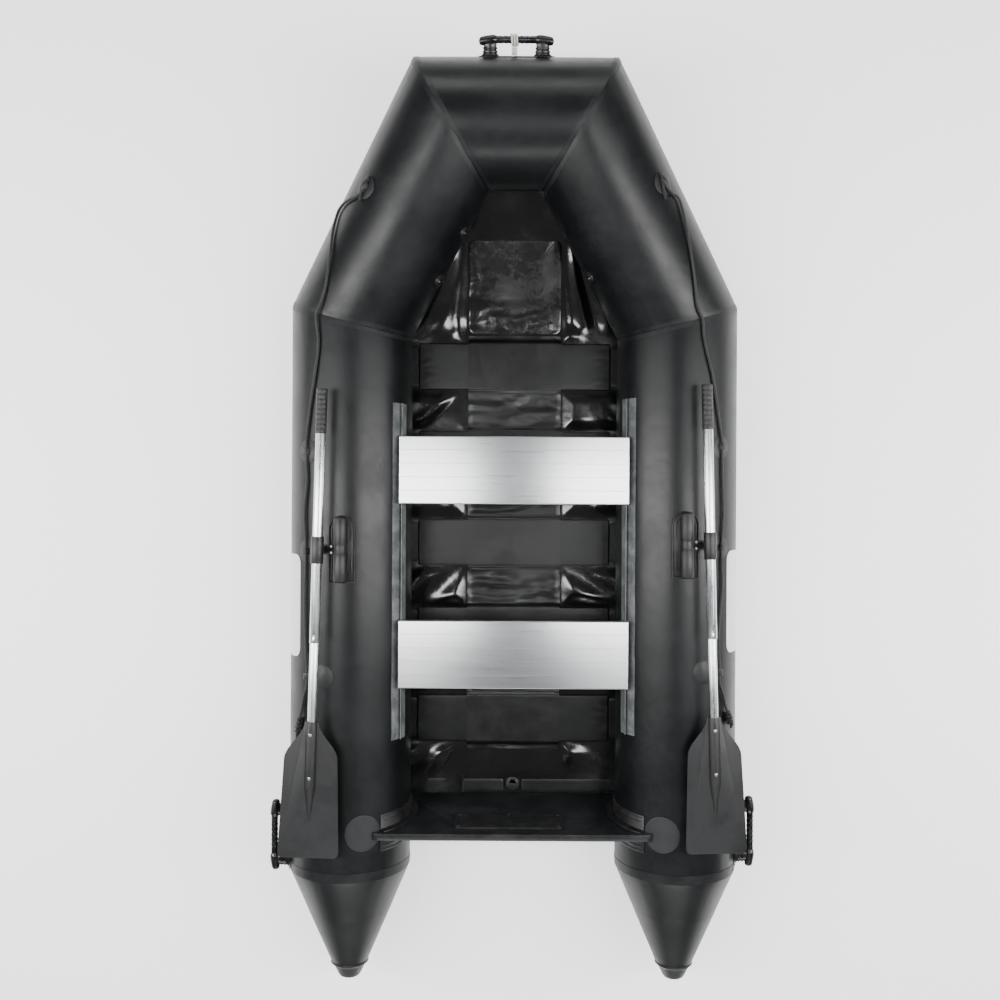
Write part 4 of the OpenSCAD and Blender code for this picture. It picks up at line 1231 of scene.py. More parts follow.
def rounded_sheet(name: str, width: float, length: float, corner: float, wall: float,
                  cell: float = 0.012) -> bpy.types.Object:
    """Makes a flat patch with rounded corners and a softened edge, its underside at Z 0.

    Args:
        name: The piece's name.
        width: Size in X.
        length: Size in Y.
        corner: Radius of the corners.
        wall: Thickness.
        cell: Spacing of the mesh.

    Returns:
        The patch, centred.
    """
    piece = grid(name, max(4, round(width / cell)), max(4, round(length / cell)))
    half_x, half_y = width / 2, length / 2

    def shape(p: Vector) -> Vector:
        """Brings the square's outer points in to the rounded outline."""
        x, y = (2 * p.x - 1) * half_x, (2 * p.y - 1) * half_y
        over_x, over_y = abs(x) - (half_x - corner), abs(y) - (half_y - corner)
        if over_x > 0 and over_y > 0:
            reach = math.hypot(over_x, over_y)
            square = max(over_x, over_y)
            over_x, over_y = over_x * square / reach, over_y * square / reach
            x = math.copysign(half_x - corner + over_x, x)
            y = math.copysign(half_y - corner + over_y, y)
        return Vector((x, y, 0.0))

    Shop.shift(piece, shape)
    Shop.modify(piece, "SOLIDIFY", thickness=wall, offset=1.0)
    Shop.round_edges(piece, wall * 0.35, 2)
    return piece


@dataclass
class Floor:
    """The bottom skin, the slats and the strap over them.

    Attributes:
        half: Half the skin's width under the cockpit.
        skin_top: Height of the skin's upper face.
        skin_wall: Thickness of the skin.
        aft: Aft edge of the skin.
        fold: Where the skin turns up under the bow.
        slope_end: Length of the sloping panel.
        slat: Size of a slat.
        slat_places: Middles of the slats.
        strap: Width of the strap.
        hem: How far the strap reaches past the outer slats.
        wrinkle: Height of the skin's wrinkles.
        ease: Width of the band in which the skin comes free beside what holds it.
        patch_end: Fore end of the bow patch, along the boat.
        bend: Half the length over which the skin turns up.
    """

    half: float = 0.449
    skin_top: float = 0.0312
    skin_wall: float = 0.0012
    aft: float = -1.017
    fold: float = 0.7218
    slope_end: float = 0.530
    slat: Triple = (0.690, 0.166, 0.013)
    slat_places: tuple[float, ...] = (-0.706, -0.3885, -0.071, 0.2465, 0.564)
    strap: float = 0.334
    hem: float = 0.028
    wrinkle: float = 0.0125
    ease: float = 0.05
    patch_end: float = 0.995
    bend: float = 0.042

    def bow_point(self, across: float, up: float, lift: float = 0.0) -> Vector:
        """Point on the sloping bow panel."""
        slope = LINES.slope
        low = self.skin_top + lift - LINES.radius
        return Vector((across, LINES.shoulder.y + up * math.cos(slope) - low * math.sin(slope),
                       LINES.radius + up * math.sin(slope) + low * math.cos(slope)))

    def _bow_half(self, up: float) -> float:
        """Half width of the sloping panel."""
        yaw = math.acos(min(1.0, LINES.bow_dir.dot(Vector((0, math.cos(LINES.slope), math.sin(LINES.slope))))))
        inset = LINES.shoulder.x - self.half
        return LINES.shoulder.x - up * math.tan(yaw) - inset / math.cos(yaw)

    def sheet_point(self, across: float, way: float, lift: float = 0.0) -> Vector:
        """Point on the skin, by the way along it from its aft edge; across runs from -1 to 1 on the slope."""
        past = way - (self.fold - self.aft)
        if past >= self.bend:
            return self.bow_point(across, self.slope_start + past, lift)
        rise = Vector((0.0, math.cos(LINES.slope), math.sin(LINES.slope))) - Vector((0.0, 1.0, 0.0))
        share = max(0.0, past + self.bend) / (2 * self.bend)
        tilt = LINES.slope * share
        place = Vector((across, self.fold + past, self.skin_top)) + rise * self.bend * share * share
        return place + Vector((0.0, -math.sin(tilt), math.cos(tilt))) * lift

    @property
    def slope_start(self) -> float:
        """Where the fold lies on the sloping panel's own measure."""
        return -(LINES.radius - self.skin_top) * math.tan(LINES.slope / 2)

    def _folds(self, x: float, y: float) -> float:
        """Height of the folds, 0 to 1: long ones fan out in the bow, short ones cross the bays."""
        side = math.copysign(1.0, x)
        half = self._bow_half(max(0.0, y - self.fold))
        fan = (abs(x) - self.strap / 2) / max(0.05, half - self.strap / 2)
        wave = fan * (2.6 + 0.5 * side) + 0.5 * noise.noise(Vector((side * 3.0, y * 2.5, 0.0))) + 0.1 * side
        fanned = (0.8 + 0.8 * math.cos(TAU * wave)) * (0.55 + 0.45 * noise.noise(Vector((fan * 1.5, y * 3.0, side))))
        fanned *= 1.0 - smooth_step(y, self.patch_end - 0.07, self.patch_end + 0.01)
        bay = round((y - self.slat_places[0]) / (self.slat_places[1] - self.slat_places[0]) - 0.5)
        lean = side * (0.75 + 0.7 * noise.noise(Vector((bay * 3.1, side * 2.3, 0.0))))
        across = x * math.cos(lean) + y * math.sin(lean)
        along = y * math.cos(lean) - x * math.sin(lean)
        crossed = ridges(Vector((across, 0.3 * along, bay * 1.7 + side)), 8.0, 2.0)
        bow = smooth_step(y, self.fold - 0.07, self.fold + 0.03)
        return fanned * bow + crossed * (1.0 - bow)

    def _slack(self, x: float, y: float) -> float:
        """How free the skin is to wrinkle: 0 under slats, strap and patches."""
        free = 1.0
        for middle in self.slat_places:
            if abs(x) < self.slat[0] / 2 + self.ease:
                free = min(free, smooth_step(abs(y - middle), self.slat[1] / 2, self.slat[1] / 2 + self.ease))
        if y < self.slat_places[-1] + self.slat[1] / 2 + self.hem:
            free = min(free, smooth_step(abs(x), self.strap / 2, self.strap / 2 + self.ease))
        free = min(free, 0.25 + 0.75 * smooth_step(y, -0.93, -0.86))
        if self.slat_places[-1] < y < self.patch_end + 0.03:
            clear = max(smooth_step(abs(x), self.strap / 2, self.strap / 2 + self.ease),
                        smooth_step(y, self.patch_end, self.patch_end + 0.03))
            free = min(free, clear)
        return free

    def _skin(self) -> None:
        """Makes the glossy bottom skin, with the folds of slack fabric."""
        flat = self.fold - self.aft
        total = flat + self.slope_end - self.slope_start
        skin = grid("bottom_skin_sheet", 130, 300)

        def lay(p: Vector) -> Vector:
            """Lays one point of the sheet."""
            way = p.y * total
            side = 2 * p.x - 1
            half = self.half if way <= flat else self._bow_half(self.slope_start + way - flat)
            place = self.sheet_point(side * half, way)
            normal = (self.sheet_point(side * half, way, 1.0) - place).normalized()
            edge = smooth_step(min(p.x, 1 - p.x), 0.0, 0.06) * smooth_step(min(p.y, 1 - p.y), 0.0, 0.02)
            sag = 0.3 * noise.noise(Vector((place.x * 5.0, place.y * 4.0, 2.0)))
            height = self._folds(place.x, place.y) + sag
            return place + normal * height * self.wrinkle * self._slack(place.x, place.y) * edge

        Shop.shift(skin, lay)
        Shop.modify(skin, "SOLIDIFY", thickness=self.skin_wall, offset=-1.0)
        Shop.smooth(skin, math.radians(70.0))
        Shop.dress(skin, HULL, Paint.FLOOR_FABRIC, "bottom_skin")
        area = 2 * self.half * flat + (self.half + self._bow_half(self.slope_end)) * (total - flat)

    def _slats(self) -> None:
        """Makes each slat: a rounded board in a welded sleeve with creased ends."""
        wide, deep, tall = self.slat
        for number, middle in enumerate(self.slat_places):
            slat = grid(f"floor_slat_{number + 1}", 92, 24)
            Shop.shift(slat, lambda p: Vector(((p.x - 0.5) * wide, middle + (p.y - 0.5) * deep, self.skin_top + tall)))
            with Shop.editing(slat):
                bpy.ops.mesh.extrude_region_move(TRANSFORM_OT_translate={"value": (0, 0, -tall)})
                bpy.ops.mesh.select_all(action="SELECT")
                bpy.ops.mesh.normals_make_consistent(inside=False)
            Shop.round_edges(slat, 0.004, 3)
            seed = Vector((0.0, 0.0, number * 1.7))

            def crease(p: Vector) -> Vector:
                """Puckers the sleeve by its ends and edges."""
                if p.z < self.skin_top + tall * 0.4:
                    return p
                end = smooth_step(abs(p.x), wide / 2 - 0.10, wide / 2)
                rim = smooth_step(abs(p.y - middle), deep / 2 - 0.03, deep / 2)
                fold = ridges(Vector((p.x * 0.8, p.y * 2.2, 0.0)) + seed, 16.0, 3.0)
                free = 1.0 if abs(p.x) > self.strap / 2 + 0.01 else 0.0
                return p - Vector((0, 0, 0.0012 * fold * max(end, 0.3 * rim) * free + 0.0005 * rim))

            Shop.shift(slat, crease)
            Shop.smooth(slat, math.radians(50.0))
            Shop.dress(slat, HULL, Paint.SLAT)
            self._welds(number, middle)
        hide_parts("floor_slats")

    def _welds(self, number: int, middle: float) -> None:
        """Makes the flat welded tabs that hold a sleeve's ends to the skin."""
        wide, deep, _ = self.slat
        for sign in (-1, 1):
            tab = rounded_sheet(f"slat_tab_{number + 1}_{'port' if sign < 0 else 'starboard'}",
                                0.060, deep * 0.86, 0.012, 0.0012)
            tab.data.transform(Matrix.Translation((sign * (wide / 2 + 0.027), middle, self.skin_top + 0.0002)))
            Shop.dress(tab, HULL, Paint.STRAP_FABRIC)

    def _strap(self) -> None:
        """Makes the strap that climbs over every slat, and its hems."""
        low = self.slat_places[0] - self.slat[1] / 2 - self.hem
        high = self.slat_places[-1] + self.slat[1] / 2 + self.hem
        top = self.slat[2] + 0.0003
        strap = grid("floor_strap_sheet", 34, 330)

        def lay(p: Vector) -> Vector:
            """Lays one point of the strap over skin and slats."""
            x, y = (p.x - 0.5) * self.strap, low + p.y * (high - low)
            climb = max(1.0 - smooth_step(abs(y - m), self.slat[1] / 2 + 0.0006, self.slat[1] / 2 + 0.014)
                        for m in self.slat_places)
            tight = climb + (1 - climb) * 0.25
            edge = smooth_step(min(p.x, 1 - p.x), 0.0, 0.04)
            fold = ridges(Vector((x * 0.7, y * 2.6, 5.0)), 7.0, 2.0)
            fold += 0.4 * ridges(Vector((x, y * 2.0, 2.0)), 13.0, 2.0)
            lift = 0.0007 + (1 - tight) * 0.0050 * fold * edge
            return Vector((x, y, self.skin_top + climb * top + lift))

        Shop.shift(strap, lay)
        Shop.modify(strap, "SOLIDIFY", thickness=0.0011, offset=1.0)
        Shop.smooth(strap, math.radians(60.0))
        Shop.dress(strap, HULL, Paint.STRAP_FABRIC, "floor_strap")
        for name, y in (("aft", low + 0.014), ("fore", high - 0.014)):
            hem = rounded_sheet(f"floor_strap_hem_{name}", self.strap - 0.004, 0.024, 0.003, 0.0009)
            hem.data.transform(Matrix.Translation((0.0, y, self.skin_top + 0.0022)))
            Shop.dress(hem, HULL, Paint.STRAP_FABRIC)

    def build(self) -> None:
        """Makes the whole floor."""
        self._skin()
        self._slats()
        self._strap()


@dataclass
class Patches:
    """The reinforcing patches on skin and tubes.

    Attributes:
        bow: Size of the patch on the bow panel.
        bow_start: Where it starts along the skin, from the skin's aft edge.
        wall: Thickness of a patch.
        end_radius: Radius of the round patches at the transom's ends.
        end_turn: Their place round the tube.
        end_ahead: Their place along the tube.
    """

    bow: tuple[float, float] = (0.330, 0.330)
    bow_start: float = 1.700
    wall: float = 0.0014
    end_radius: float = 0.059
    end_turn: float = -20.0
    end_ahead: float = -1.7031

    def build(self, floor: Floor) -> None:
        """Makes the bow patch, the foot strip and both end patches."""
        bow = rounded_sheet("bow_panel_patch", *self.bow, 0.022, self.wall, 0.01)
        middle = self.bow_start + self.bow[1] / 2

        def lay(p: Vector) -> Vector:
            """Lays the patch up the slope, with buckles of stiff glue across its lower half."""
            low = smooth_step(-p.y, -0.06, 0.12)
            buckle = 0.0030 * low * ridges(Vector((p.x * 0.8, p.y * 1.8, 4.0)), 12.0, 2.0)
            buckle += 0.0035 * smooth_step(abs(p.x), 0.09, 0.15) * ridges(Vector((p.x * 2.0, p.y * 0.7, 9.0)), 7.0, 2.0)
            return floor.sheet_point(p.x, middle + p.y, p.z + 0.0004 + buckle)

        Shop.shift(bow, lay)
        Shop.smooth(bow, math.radians(50.0))
        Shop.dress(bow, HULL, Paint.BOW_PATCH, "patches")
        self._foot(floor)
        for side in Side:
            patch = rounded_sheet(f"{side.value}_transom_end_patch", 2 * self.end_radius, 2 * self.end_radius,
                                  self.end_radius - 0.0005, self.wall, 0.005)
            wrap(patch, self.end_ahead, math.radians(self.end_turn))
            Shop.dress(side.send(patch), HULL, Paint.PATCH_FABRIC)

    def _foot(self, floor: Floor) -> None:
        """Makes the strip along the transom's foot."""
        for side in Side:
            strip = rounded_sheet(f"{side.value}_foot_strip", 0.385, 0.045, 0.006, self.wall)
            strip.data.transform(Matrix.Translation((0.226, -0.9505, floor.skin_top)))
            Shop.dress(side.send(strip), HULL, Paint.STRAP_FABRIC)


@dataclass
class Rails:
    """The crinkled strips and fins that the benches slide on.

    Attributes:
        middle: Place of the rails along the boat.
        length: Length of a rail.
        start: Angle where the strip starts, inboard from the top.
        stop: Angle where it ends.
        fin: Angle of the standing fin.
        fin_height: Height of the fin.
        fin_wall: Thickness of the fin.
        wall: Thickness of the strip.
    """

    middle: float = -0.148
    length: float = 1.123
    start: float = 49.0
    stop: float = 70.0
    fin: float = 62.0
    fin_height: float = 0.017
    fin_wall: float = 0.004
    wall: float = 0.002

    def build(self) -> None:
        """Makes both rails."""
        for side in Side:
            self._strip(side)
            self._fin(side)
        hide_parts("seat_rails")

    def _strip(self, side: Side) -> None:
        """Makes the glued strip, with the crinkles of loose tape."""
        strip = grid(f"{side.value}_seat_rail_strip", 12, 220)
        seed = 3.0 * side.sign

        def lay(p: Vector) -> Vector:
            """Lays one point of the strip on the tube."""
            turn = -math.radians(self.start + (self.stop - self.start) * p.x)
            along = (p.y - 0.5) * self.length
            crinkle = ridges(Vector((p.x * 0.25, along * 1.4, seed)), 22.0, 2.2)
            crinkle += 0.6 * ridges(Vector((p.x * 0.8, along * 1.6, seed + 4.0)), 38.0, 2.0)
            edge = 0.2 + 0.8 * smooth_step(min(p.x, 1 - p.x), 0.0, 0.16)
            ahead = self.middle - LINES.shoulder.y + along
            wave = 0.0016 * noise.noise(Vector((along * 9.0, seed, 0.0)))
            return LINES.beside(ahead, turn + wave / LINES.radius, 0.0002 + 0.0009 * crinkle * edge)

        Shop.shift(strip, lay)
        Shop.modify(strip, "SOLIDIFY", thickness=self.wall - 0.0009, offset=1.0)
        Shop.smooth(strip, math.radians(60.0))
        Shop.dress(side.fitted(strip), HULL, Paint.RAIL_FABRIC)

    def _fin(self, side: Side) -> None:
        """Makes the standing fin, rounded along its top."""
        turn = math.radians(self.fin)
        foot = LINES.radius + self.wall
        x = LINES.shoulder.x - foot * math.sin(turn)
        top = LINES.radius + foot * math.cos(turn) + self.fin_height
        tall = self.fin_height + 0.008
        fin = Shop.block(f"{side.value}_seat_rail_fin", (self.fin_wall, self.length, tall),
                         Matrix.Translation((x, self.middle, top - tall / 2)), 0.0014)
        Shop.dress(side.fitted(fin), HULL, Paint.RAIL_FABRIC)


# ---------------------------------------------------------------- hard fittings


@dataclass(frozen=True)
class Carried:
    """A CAD node that is carried over with rounded edges.

    Attributes:
        node: The node.
        paint: Its finish.
        edge: Width of the rounding.
        body: The body that it rides on.
    """

    node: str
    paint: Paint
    edge: float = 0.0008
    body: str = HULL

    def build(self) -> bpy.types.Object:
        """Makes the rounded copy in the node's place."""
        piece = Shop.copy_node(self.node, f"{self.node}_shell", self.edge)
        return Shop.dress(piece, self.body, self.paint, self.node)


@dataclass
class Transom:
    """The raked board with its holders, motor plates, screws and drain.

    Attributes:
        foot: Lower edge of the board's front face.
        rake: Aft lean of the board, in degrees.
        rib: Radius of the moulded ribs on the holders.
        gaps: Places of the ribs forward of the board's foot.
        holder: Height of a holder's face off the tube.
    """

    foot: Vector = field(default_factory=lambda: Vector((0.0, -0.977, 0.03342)))
    rake: float = 5.0
    rib: float = 0.0016
    gaps: tuple[float, ...] = (0.030, 0.044, -0.052, -0.066)
    holder: float = 0.0031

    def build(self) -> None:
        """Makes the board and all that it carries."""
        for carried in (
            Carried("transom_board", Paint.TRANSOM_BOARD, 0.003),
            Carried("transom_holders", Paint.HOLDER_RUBBER, 0.0007),
            Carried("inner_motor_plate", Paint.MOTOR_PLATE, 0.0016),
            Carried("outer_motor_plate", Paint.MOTOR_PLATE, 0.0016),
            Carried("motor_plate_screws", Paint.STEEL, 0.0006),
            Carried("drain_housing", Paint.DRAIN_PLASTIC, 0.0018),
            Carried("drain_plug", Paint.DRAIN_PLASTIC, 0.001, "drain_plug"),
        ):
            carried.build()
        for side in Side:
            self._ribs(side)

    def _ribs(self, side: Side) -> None:
        """Makes two moulded ribs on each flange of a holder, round the tube."""
        lean = math.radians(self.rake)
        pieces = []
        for number, gap in enumerate(self.gaps):
            line = []
            for i in range(33):
                turn = -math.radians(39.0 + 86.0 * i / 32)
                out = LINES.radius + self.holder
                x = LINES.shoulder.x + out * math.sin(turn)
                z = LINES.radius + out * math.cos(turn)
                line.append(Vector((x, self.foot.y + gap - (z - self.foot.z) * math.tan(lean), z)))
            pieces.append(GrabLine.sweep(f"{side.value}_holder_rib_{number}", line, self.rib, 8))
        ribs = Shop.join(f"{side.value}_holder_ribs", pieces)
        Shop.dress(side.send(ribs), HULL, Paint.HOLDER_RUBBER)


@dataclass
class Bench:
    """A hollow plank with raised lines along its top, and end shoes.

    Attributes:
        name: front_bench or rear_bench.
        width: Size along the boat.
        grooves: Number of raised lines on the top face.
        bead: Radius of a raised line.
        inset: How far a raised line stops short of the plank's ends.
        sunk: Depth of its middle under the top face.
    """

    name: str
    width: float = 0.225
    grooves: int = 4
    bead: float = 0.0007
    inset: float = 0.004
    sunk: float = 0.00035

    def build(self) -> None:
        """Makes the plank, its shoes and its raised lines."""
        plank = Carried(self.name, Paint.BENCH_ALUMINIUM, 0.0012, self.name).build()
        Carried(f"{self.name}_shoes", Paint.BENCH_SHOE, 0.0006, self.name).build()
        low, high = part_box(self.name)
        log.info("%s is %.3f m long", plank.name, high.x - low.x)
        self._beads(low, high)

    def _beads(self, low: Vector, high: Vector) -> None:
        """Makes the raised lines that run along the plank."""
        beads = []
        for i in range(self.grooves):
            y = low.y + self.width * (i + 1) / (self.grooves + 1)
            span = high.x - low.x - 2 * self.inset
            line = [Vector((low.x + self.inset + span * k / 24, y, high.z - self.sunk)) for k in range(25)]
            beads.append(GrabLine.sweep(f"{self.name}_bead_{i}", line, self.bead, 8))
        Shop.dress(Shop.join(f"{self.name}_beads", beads), self.name, Paint.BENCH_ALUMINIUM)


@dataclass
class Handle:
    """A moulded carrying handle: bar with flared ends on two banded legs, over one thin plate.

    Attributes:
        node: Its CAD node.
        seat: Its frame on the tube: Y along the bar, Z out of the tube.
        length: Length over the bar's ends.
        bar: Radius of the bar's grip.
        end: Radius of the flared ends.
        height: Height of the bar's middle above the tube.
        leg: Place of a leg along the bar.
        leg_profile: Height and half width of each ring of a leg.
        plate: Size of the plate round and along the tube, and its thickness.
    """

    node: str
    seat: Matrix
    length: float = 0.240
    bar: float = 0.0112
    end: float = 0.0150
    height: float = 0.050
    leg: float = 0.0835
    leg_profile: tuple[tuple[float, float], ...] = (
        (0.0010, 0.0300), (0.0045, 0.0285), (0.0075, 0.0250), (0.0110, 0.0222), (0.0125, 0.0242), (0.0165, 0.0242),
        (0.0180, 0.0214), (0.0215, 0.0210), (0.0230, 0.0232), (0.0270, 0.0230), (0.0285, 0.0206), (0.0360, 0.0204),
        (0.0415, 0.0232), (0.0460, 0.0270))
    plate: Triple = (0.066, 0.244, 0.0025)

    def build(self) -> None:
        """Makes the plate, the legs and the bar, and joins them into the handle."""
        pieces = [self._plate(), self._bar()] + [self._leg(y) for y in (-self.leg, self.leg)]
        handle = Shop.join(f"{self.node}_shell", pieces)
        Shop.dress(handle, HULL, Paint.HANDLE_PLASTIC, self.node)

    def _plate(self) -> bpy.types.Object:
        """Makes the plate with its rounded ends, bent round the tube."""
        wide, long, wall = self.plate
        plate = rounded_sheet(f"{self.node}_plate", wide, long, wide / 2 - 0.001, wall, 0.006)

        def bend(p: Vector) -> Vector:
            """Lays one point on the tube."""
            turn, out = p.x / LINES.radius, LINES.radius + p.z
            return self.seat @ Vector((out * math.sin(turn), p.y, out * math.cos(turn) - LINES.radius))

        Shop.shift(plate, bend)
        return plate

    def _bar(self) -> bpy.types.Object:
        """Makes the bar: a slim grip with finger waves, and thick domed ends."""
        half, steps = self.length / 2, 96
        profile = []
        for i in range(steps + 1):
            at = -half + self.length * i / steps
            far = abs(at)
            radius = self.bar + (self.end - self.bar) * smooth_step(far, 0.060, 0.074)
            radius -= 0.0022 * smooth_step(far, 0.088, half)
            radius += 0.0006 * math.cos(TAU * at / 0.017) * (1.0 - smooth_step(far, 0.040, 0.055))
            dome = math.sqrt(max(0.0, 1.0 - max(0.0, 1.0 - (half - far) / 0.010) ** 2))
            profile.append((at, max(0.0006, radius * dome)))
        bar = Shop.turned(f"{self.node}_bar", profile, Matrix.Rotation(-math.pi / 2, 4, "X"), 40)
        Shop.shift(bar, lambda p: p - Vector((0, 0, 0.0045 * smooth_step(abs(p.y), 0.062, half))))
        bar.data.transform(self.seat @ Matrix.Translation((0, 0, self.height)))
        return bar

    def _leg(self, y: float) -> bpy.types.Object:
        """Makes one leg, wide along the bar and thin across it."""
        place = self.seat @ Matrix.Translation((0, y, 0)) @ Matrix.Rotation(math.pi / 2, 4, "Z")
        return Shop.turned(f"{self.node}_leg", self.leg_profile, place, 40, 0.55)


@dataclass
class Lashing:
    """Thin white cord: open turns round the bow handle's bar, and strands side by side to its foot.

    Attributes:
        seat: The handle's frame.
        cord: Radius of the cord.
        wind: Radius of the turns, at the cord's middle.
        middle: Place of the turns along the bar.
        height: Height of the bar's middle.
        turns: Number of turns.
        pitch: Step of one turn along the bar.
        foot: Height where the strands end.
    """

    seat: Matrix
    cord: float = 0.003
    wind: float = 0.0153
    middle: float = -0.006
    height: float = 0.050
    turns: int = 3
    pitch: float = 0.010
    foot: float = 0.0055

    def build(self) -> None:
        """Winds the cord, leads its end down and lays the other strands beside it."""
        per_turn = 24
        reach = self.turns * self.pitch / 2 - self.cord
        line = []
        for i in range(self.turns * per_turn + 1):
            share = i / (self.turns * per_turn)
            angle = math.pi + TAU * i / per_turn
            y = self.middle + reach * (1.0 - 2.0 * share)
            line.append(self.seat @ Vector((self.wind * math.cos(angle), y, self.height + self.wind * math.sin(angle))))
        strands = [self._strand(y) for y in (-2 * self.cord, 0.0, 2 * self.cord)]
        line += strands[0]
        cord = GrabLine.sweep("bow_lashing_cord", line, self.cord, 12)
        Shop.dress(cord, HULL, Paint.WHITE_CORD, "bow_lashing")
        for number, strand in enumerate(strands[1:]):
            piece = GrabLine.sweep(f"bow_lashing_strand_{number + 2}", strand, self.cord, 12)
            Shop.dress(piece, HULL, Paint.WHITE_CORD)
        length = sum((b - a).length for a, b in zip(line, line[1:]))

    def _strand(self, y: float) -> list[Vector]:
        """Line of one strand from the bar down to the foot."""
        start, steps = self.height - 0.003, 10
        return [self.seat @ Vector((-self.wind, self.middle + y, start + (self.foot - start) * k / steps))
                for k in range(steps + 1)]


@dataclass
class Oarlock:
    """Moulded base with its raised rim, axle and turning block.

    Attributes:
        side: Its side.
        middle: Its place along the boat.
        axle: Height of the axle.
        lean: Outward lean of the arm, in degrees.
        pad: Half the width of the pad.
        length: Length of the pad.
        pad_wall: Thickness of the pad.
        barrel: Radius of the barrels.
        half_span: From the middle to a barrel's outer end.
        lip: Radius of the lip's line round a barrel.
        lip_start: Where the lips start beside the block.
        lip_end: Where their round ends start, and how far those reach.
        screw: Place of a screw along the boat, up the arm and above its middle.
    """

    side: Side
    middle: float = -0.071
    axle: float = 0.444
    lean: float = 22.0
    pad: float = 0.044
    length: float = 0.220
    pad_wall: float = 0.0061
    barrel: float = 0.0225
    half_span: float = 0.0965
    lip: float = 0.030
    lip_start: float = 0.026
    lip_end: tuple[float, float] = (0.0665, 0.024)
    screw: Triple = (0.010, 0.031, 0.0049)

    def build(self) -> None:
        """Makes the base, its rim, lips and domes, the block and its screws."""
        name = self.side.value
        Carried(f"{name}_oarlock_base", Paint.OARLOCK_RUBBER, 0.0022).build()
        Carried(f"{name}_block", Paint.OARLOCK_RUBBER, 0.0016, f"{name}_block").build()
        self._rim()
        self._lips()
        self._domes()
        self._screws()

    def _rim(self) -> None:
        """Makes the raised rim round the pad."""
        inset = self.pad - 0.004
        outline = [Vector((-inset, -self.length / 2 + 0.004, 0))]
        front = self.length / 2 - self.pad
        for i in range(25):
            turn = math.pi - math.pi * i / 24
            outline.append(Vector((inset * math.cos(turn), front + inset * math.sin(turn), 0)))
        outline.append(Vector((inset, -self.length / 2 + 0.004, 0)))
        line = []
        for a, b in zip(outline, outline[1:] + outline[:1]):
            line += [a.lerp(b, k / 6) for k in range(6)]
        line.append(line[0])
        ahead = self.middle - LINES.shoulder.y
        laid = [LINES.beside(ahead + p.y, p.x / LINES.radius, self.pad_wall + 0.0006) for p in line]
        rim = GrabLine.sweep(f"{self.side.value}_oarlock_rim", laid, 0.0032, 10)
        Shop.dress(self.side.fitted(rim), HULL, Paint.OARLOCK_RUBBER)

    def _lips(self) -> None:
        """Makes the moulded lip round each barrel, open towards the block."""
        lips = []
        ahead = self.middle - LINES.shoulder.y
        end, round_end = self.lip_end
        for number, way in enumerate((-1.0, 1.0)):
            line = [Vector((-self.lip, way * self.lip_start, 0))]
            for i in range(17):
                turn = math.pi - math.pi * i / 16
                line.append(Vector((self.lip * math.cos(turn), way * (end + round_end * math.sin(turn)), 0)))
            line.append(Vector((self.lip, way * self.lip_start, 0)))
            dense = [a.lerp(b, k / 4) for a, b in zip(line, line[1:]) for k in range(4)] + [line[-1]]
            laid = [LINES.beside(ahead + p.y, p.x / LINES.radius, self.pad_wall + 0.0004) for p in dense]
            lips.append(GrabLine.sweep(f"{self.side.value}_oarlock_lip_{number}", laid, 0.0024, 8))
        lip = Shop.join(f"{self.side.value}_oarlock_lips", lips)
        Shop.dress(self.side.fitted(lip), HULL, Paint.OARLOCK_RUBBER)

    def _domes(self) -> None:
        """Makes the domes that close the barrels' outer ends."""
        profile = ((-0.001, 1.0), (0.0035, 0.99), (0.007, 0.90), (0.0095, 0.68), (0.0108, 0.36), (0.0112, 0.04))
        domes = []
        for turn in (math.pi / 2, -math.pi / 2):
            place = Matrix.Translation((LINES.shoulder.x, self.middle, self.axle)) @ Matrix.Rotation(turn, 4, "X")
            rings = [(self.half_span + rise, self.barrel * share) for rise, share in profile]
            domes.append(Shop.turned(f"{self.side.value}_oarlock_dome", rings, place, 32))
        dome = Shop.join(f"{self.side.value}_oarlock_domes", domes)
        Shop.dress(self.side.fitted(dome), HULL, Paint.OARLOCK_RUBBER)

    def _screws(self) -> None:
        """Makes the bright dome screws on the arm."""
        tilt = Matrix.Rotation(math.radians(self.lean), 4, "Y")
        hub = Matrix.Translation((LINES.shoulder.x, self.middle, self.axle)) @ tilt
        profile = ((0.0, 0.0044), (0.0012, 0.0044), (0.0022, 0.0037), (0.0029, 0.0022), (0.0031, 0.0006))
        heads = []
        aside, out, up = self.screw
        for y in (-aside, aside):
            place = hub @ Matrix.Translation((out, y, up))
            heads.append(Shop.turned(f"{self.side.value}_block_screw", profile, place, 24))
        screws = Shop.join(f"{self.side.value}_block_screws", heads)
        Shop.dress(self.side.fitted(screws), f"{self.side.value}_block", Paint.STEEL)


@dataclass
class Oar:
    """A two-part oar with a ribbed grip, a collar and a flat blade.

    Attributes:
        side: Its side.
    """

    side: Side

    def build(self) -> None:
        """Makes every piece of the oar on its own body."""
        name = self.side.value
        oar = f"{name}_oar"
        for carried in (
            Carried(f"{name}_grip", Paint.OAR_GRIP, 0.0007, oar),
            Carried(f"{name}_upper_shaft", Paint.OAR_TUBE, 0.0004, oar),
            Carried(f"{name}_lower_shaft", Paint.OAR_TUBE, 0.0004, oar),
            Carried(f"{name}_blade", Paint.BLADE_PLASTIC, 0.0012, oar),
            Carried(f"{name}_rivets", Paint.STEEL, 0.0005, oar),
            Carried(f"{name}_collar", Paint.COLLAR_PLASTIC, 0.0012, f"{name}_collar"),
            Carried(f"{name}_snap_button", Paint.STEEL, 0.0003, f"{name}_snap_button"),
        ):
            carried.build()


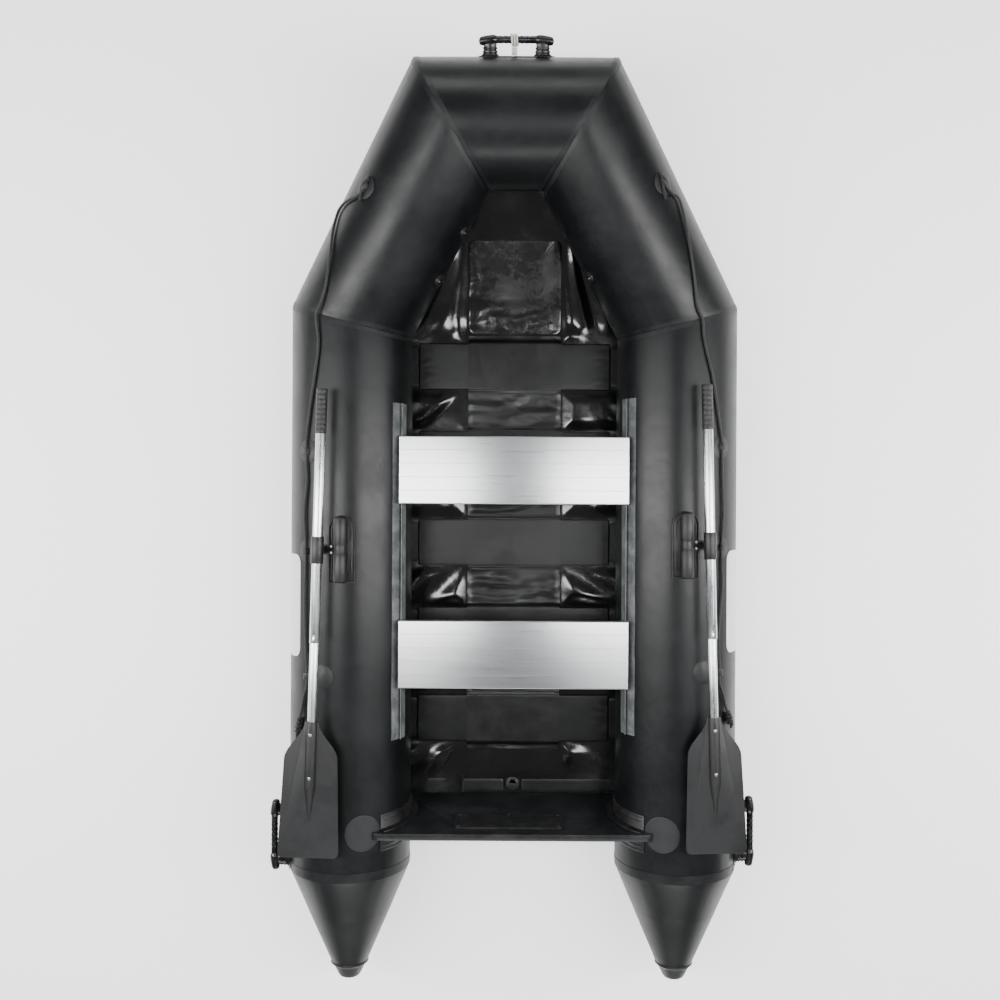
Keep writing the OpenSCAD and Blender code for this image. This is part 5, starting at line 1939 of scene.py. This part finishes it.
@dataclass
class Valves:
    """The three air valves.

    Attributes:
        names: What each valve's nodes start with.
    """

    names: tuple[str, ...] = ("bow", "port", "starboard")

    def build(self) -> None:
        """Makes bodies, caps and plungers."""
        Carried("valve_bodies", Paint.VALVE_PLASTIC, 0.0008).build()
        for name in self.names:
            Carried(f"{name}_valve_cap", Paint.VALVE_PLASTIC, 0.0008, f"{name}_valve_cap").build()
            Carried(f"{name}_valve_plunger", Paint.VALVE_PLASTIC, 0.0005, f"{name}_valve_plunger").build()


@dataclass
class Labels:
    """Blank white labels with rounded ends on the tubes' outer sides.

    Attributes:
        width: Size round the tube.
        length: Size along the boat.
        middle: Place along the boat.
        turn: Place round the tube, in degrees.
    """

    width: float = 0.150
    length: float = 0.340
    middle: float = -0.262
    turn: float = 67.0

    def build(self) -> None:
        """Makes both labels."""
        for side in Side:
            label = rounded_sheet(f"{side.value}_label", self.width, self.length, 0.030, 0.0006)
            wrap(label, self.middle - LINES.shoulder.y, math.radians(self.turn))
            Shop.shift(label, lambda p: p + (p - Vector((LINES.shoulder.x, p.y, LINES.radius))).normalized() * 0.0002)
            Shop.dress(side.fitted(label), HULL, Paint.LABEL)
        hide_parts("side_labels")


def bow_seat() -> Matrix:
    """Frame of the bow handle: Y along its bar, Z out of the front tube."""
    lift = Matrix.Rotation(math.radians(20.0 - 90.0), 4, "X") @ Matrix.Rotation(-math.pi / 2, 4, "Z")
    front = Vector((0.0, LINES.corner.y, LINES.corner.z))
    return Matrix.Translation(front) @ lift @ Matrix.Translation((0, 0, LINES.radius))


def stern_seat(side: Side) -> Matrix:
    """Frame of a stern handle."""
    seat = LINES.seat(-1.048 - LINES.shoulder.y, math.radians(78.0))
    step = Matrix.Translation((0, side.sign * LINES.stagger, 0))
    return step @ (MIRROR @ seat @ MIRROR if side is Side.PORT else seat)


def dress_inner() -> None:
    """Gives the hidden baffles their fabric."""
    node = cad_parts["air_baffles"]
    node.data.materials.clear()
    node.data.materials.append(Paint.BAFFLE_FABRIC.material())


def main() -> None:
    """Builds the boat in order: camera and cords first, then hull, floor and fittings."""
    logging.basicConfig(level=logging.INFO, format="%(name)s: %(message)s")
    Shop.clear()
    Studio().build()
    GrabLine(Side.PORT, PORT_ROUTE).build()
    GrabLine(Side.STARBOARD, STARBOARD_ROUTE).build()
    Lashing(bow_seat()).build()
    AirTubes().build()
    floor = Floor()
    floor.build()
    Patches().build(floor)
    Rails().build()
    Transom().build()
    Bench("front_bench").build()
    Bench("rear_bench").build()
    Handle("bow_handle", bow_seat()).build()
    for side in Side:
        Handle(f"{side.value}_stern_handle", stern_seat(side)).build()
        Oarlock(side).build()
        Oar(side).build()
    Carried("oarlock_axles", Paint.STEEL, 0.0008).build()
    Valves().build()
    Carried("rope_guides", Paint.GUIDE_RUBBER, 0.0005).build()
    Labels().build()
    dress_inner()


if __name__ == "__main__":
    main()
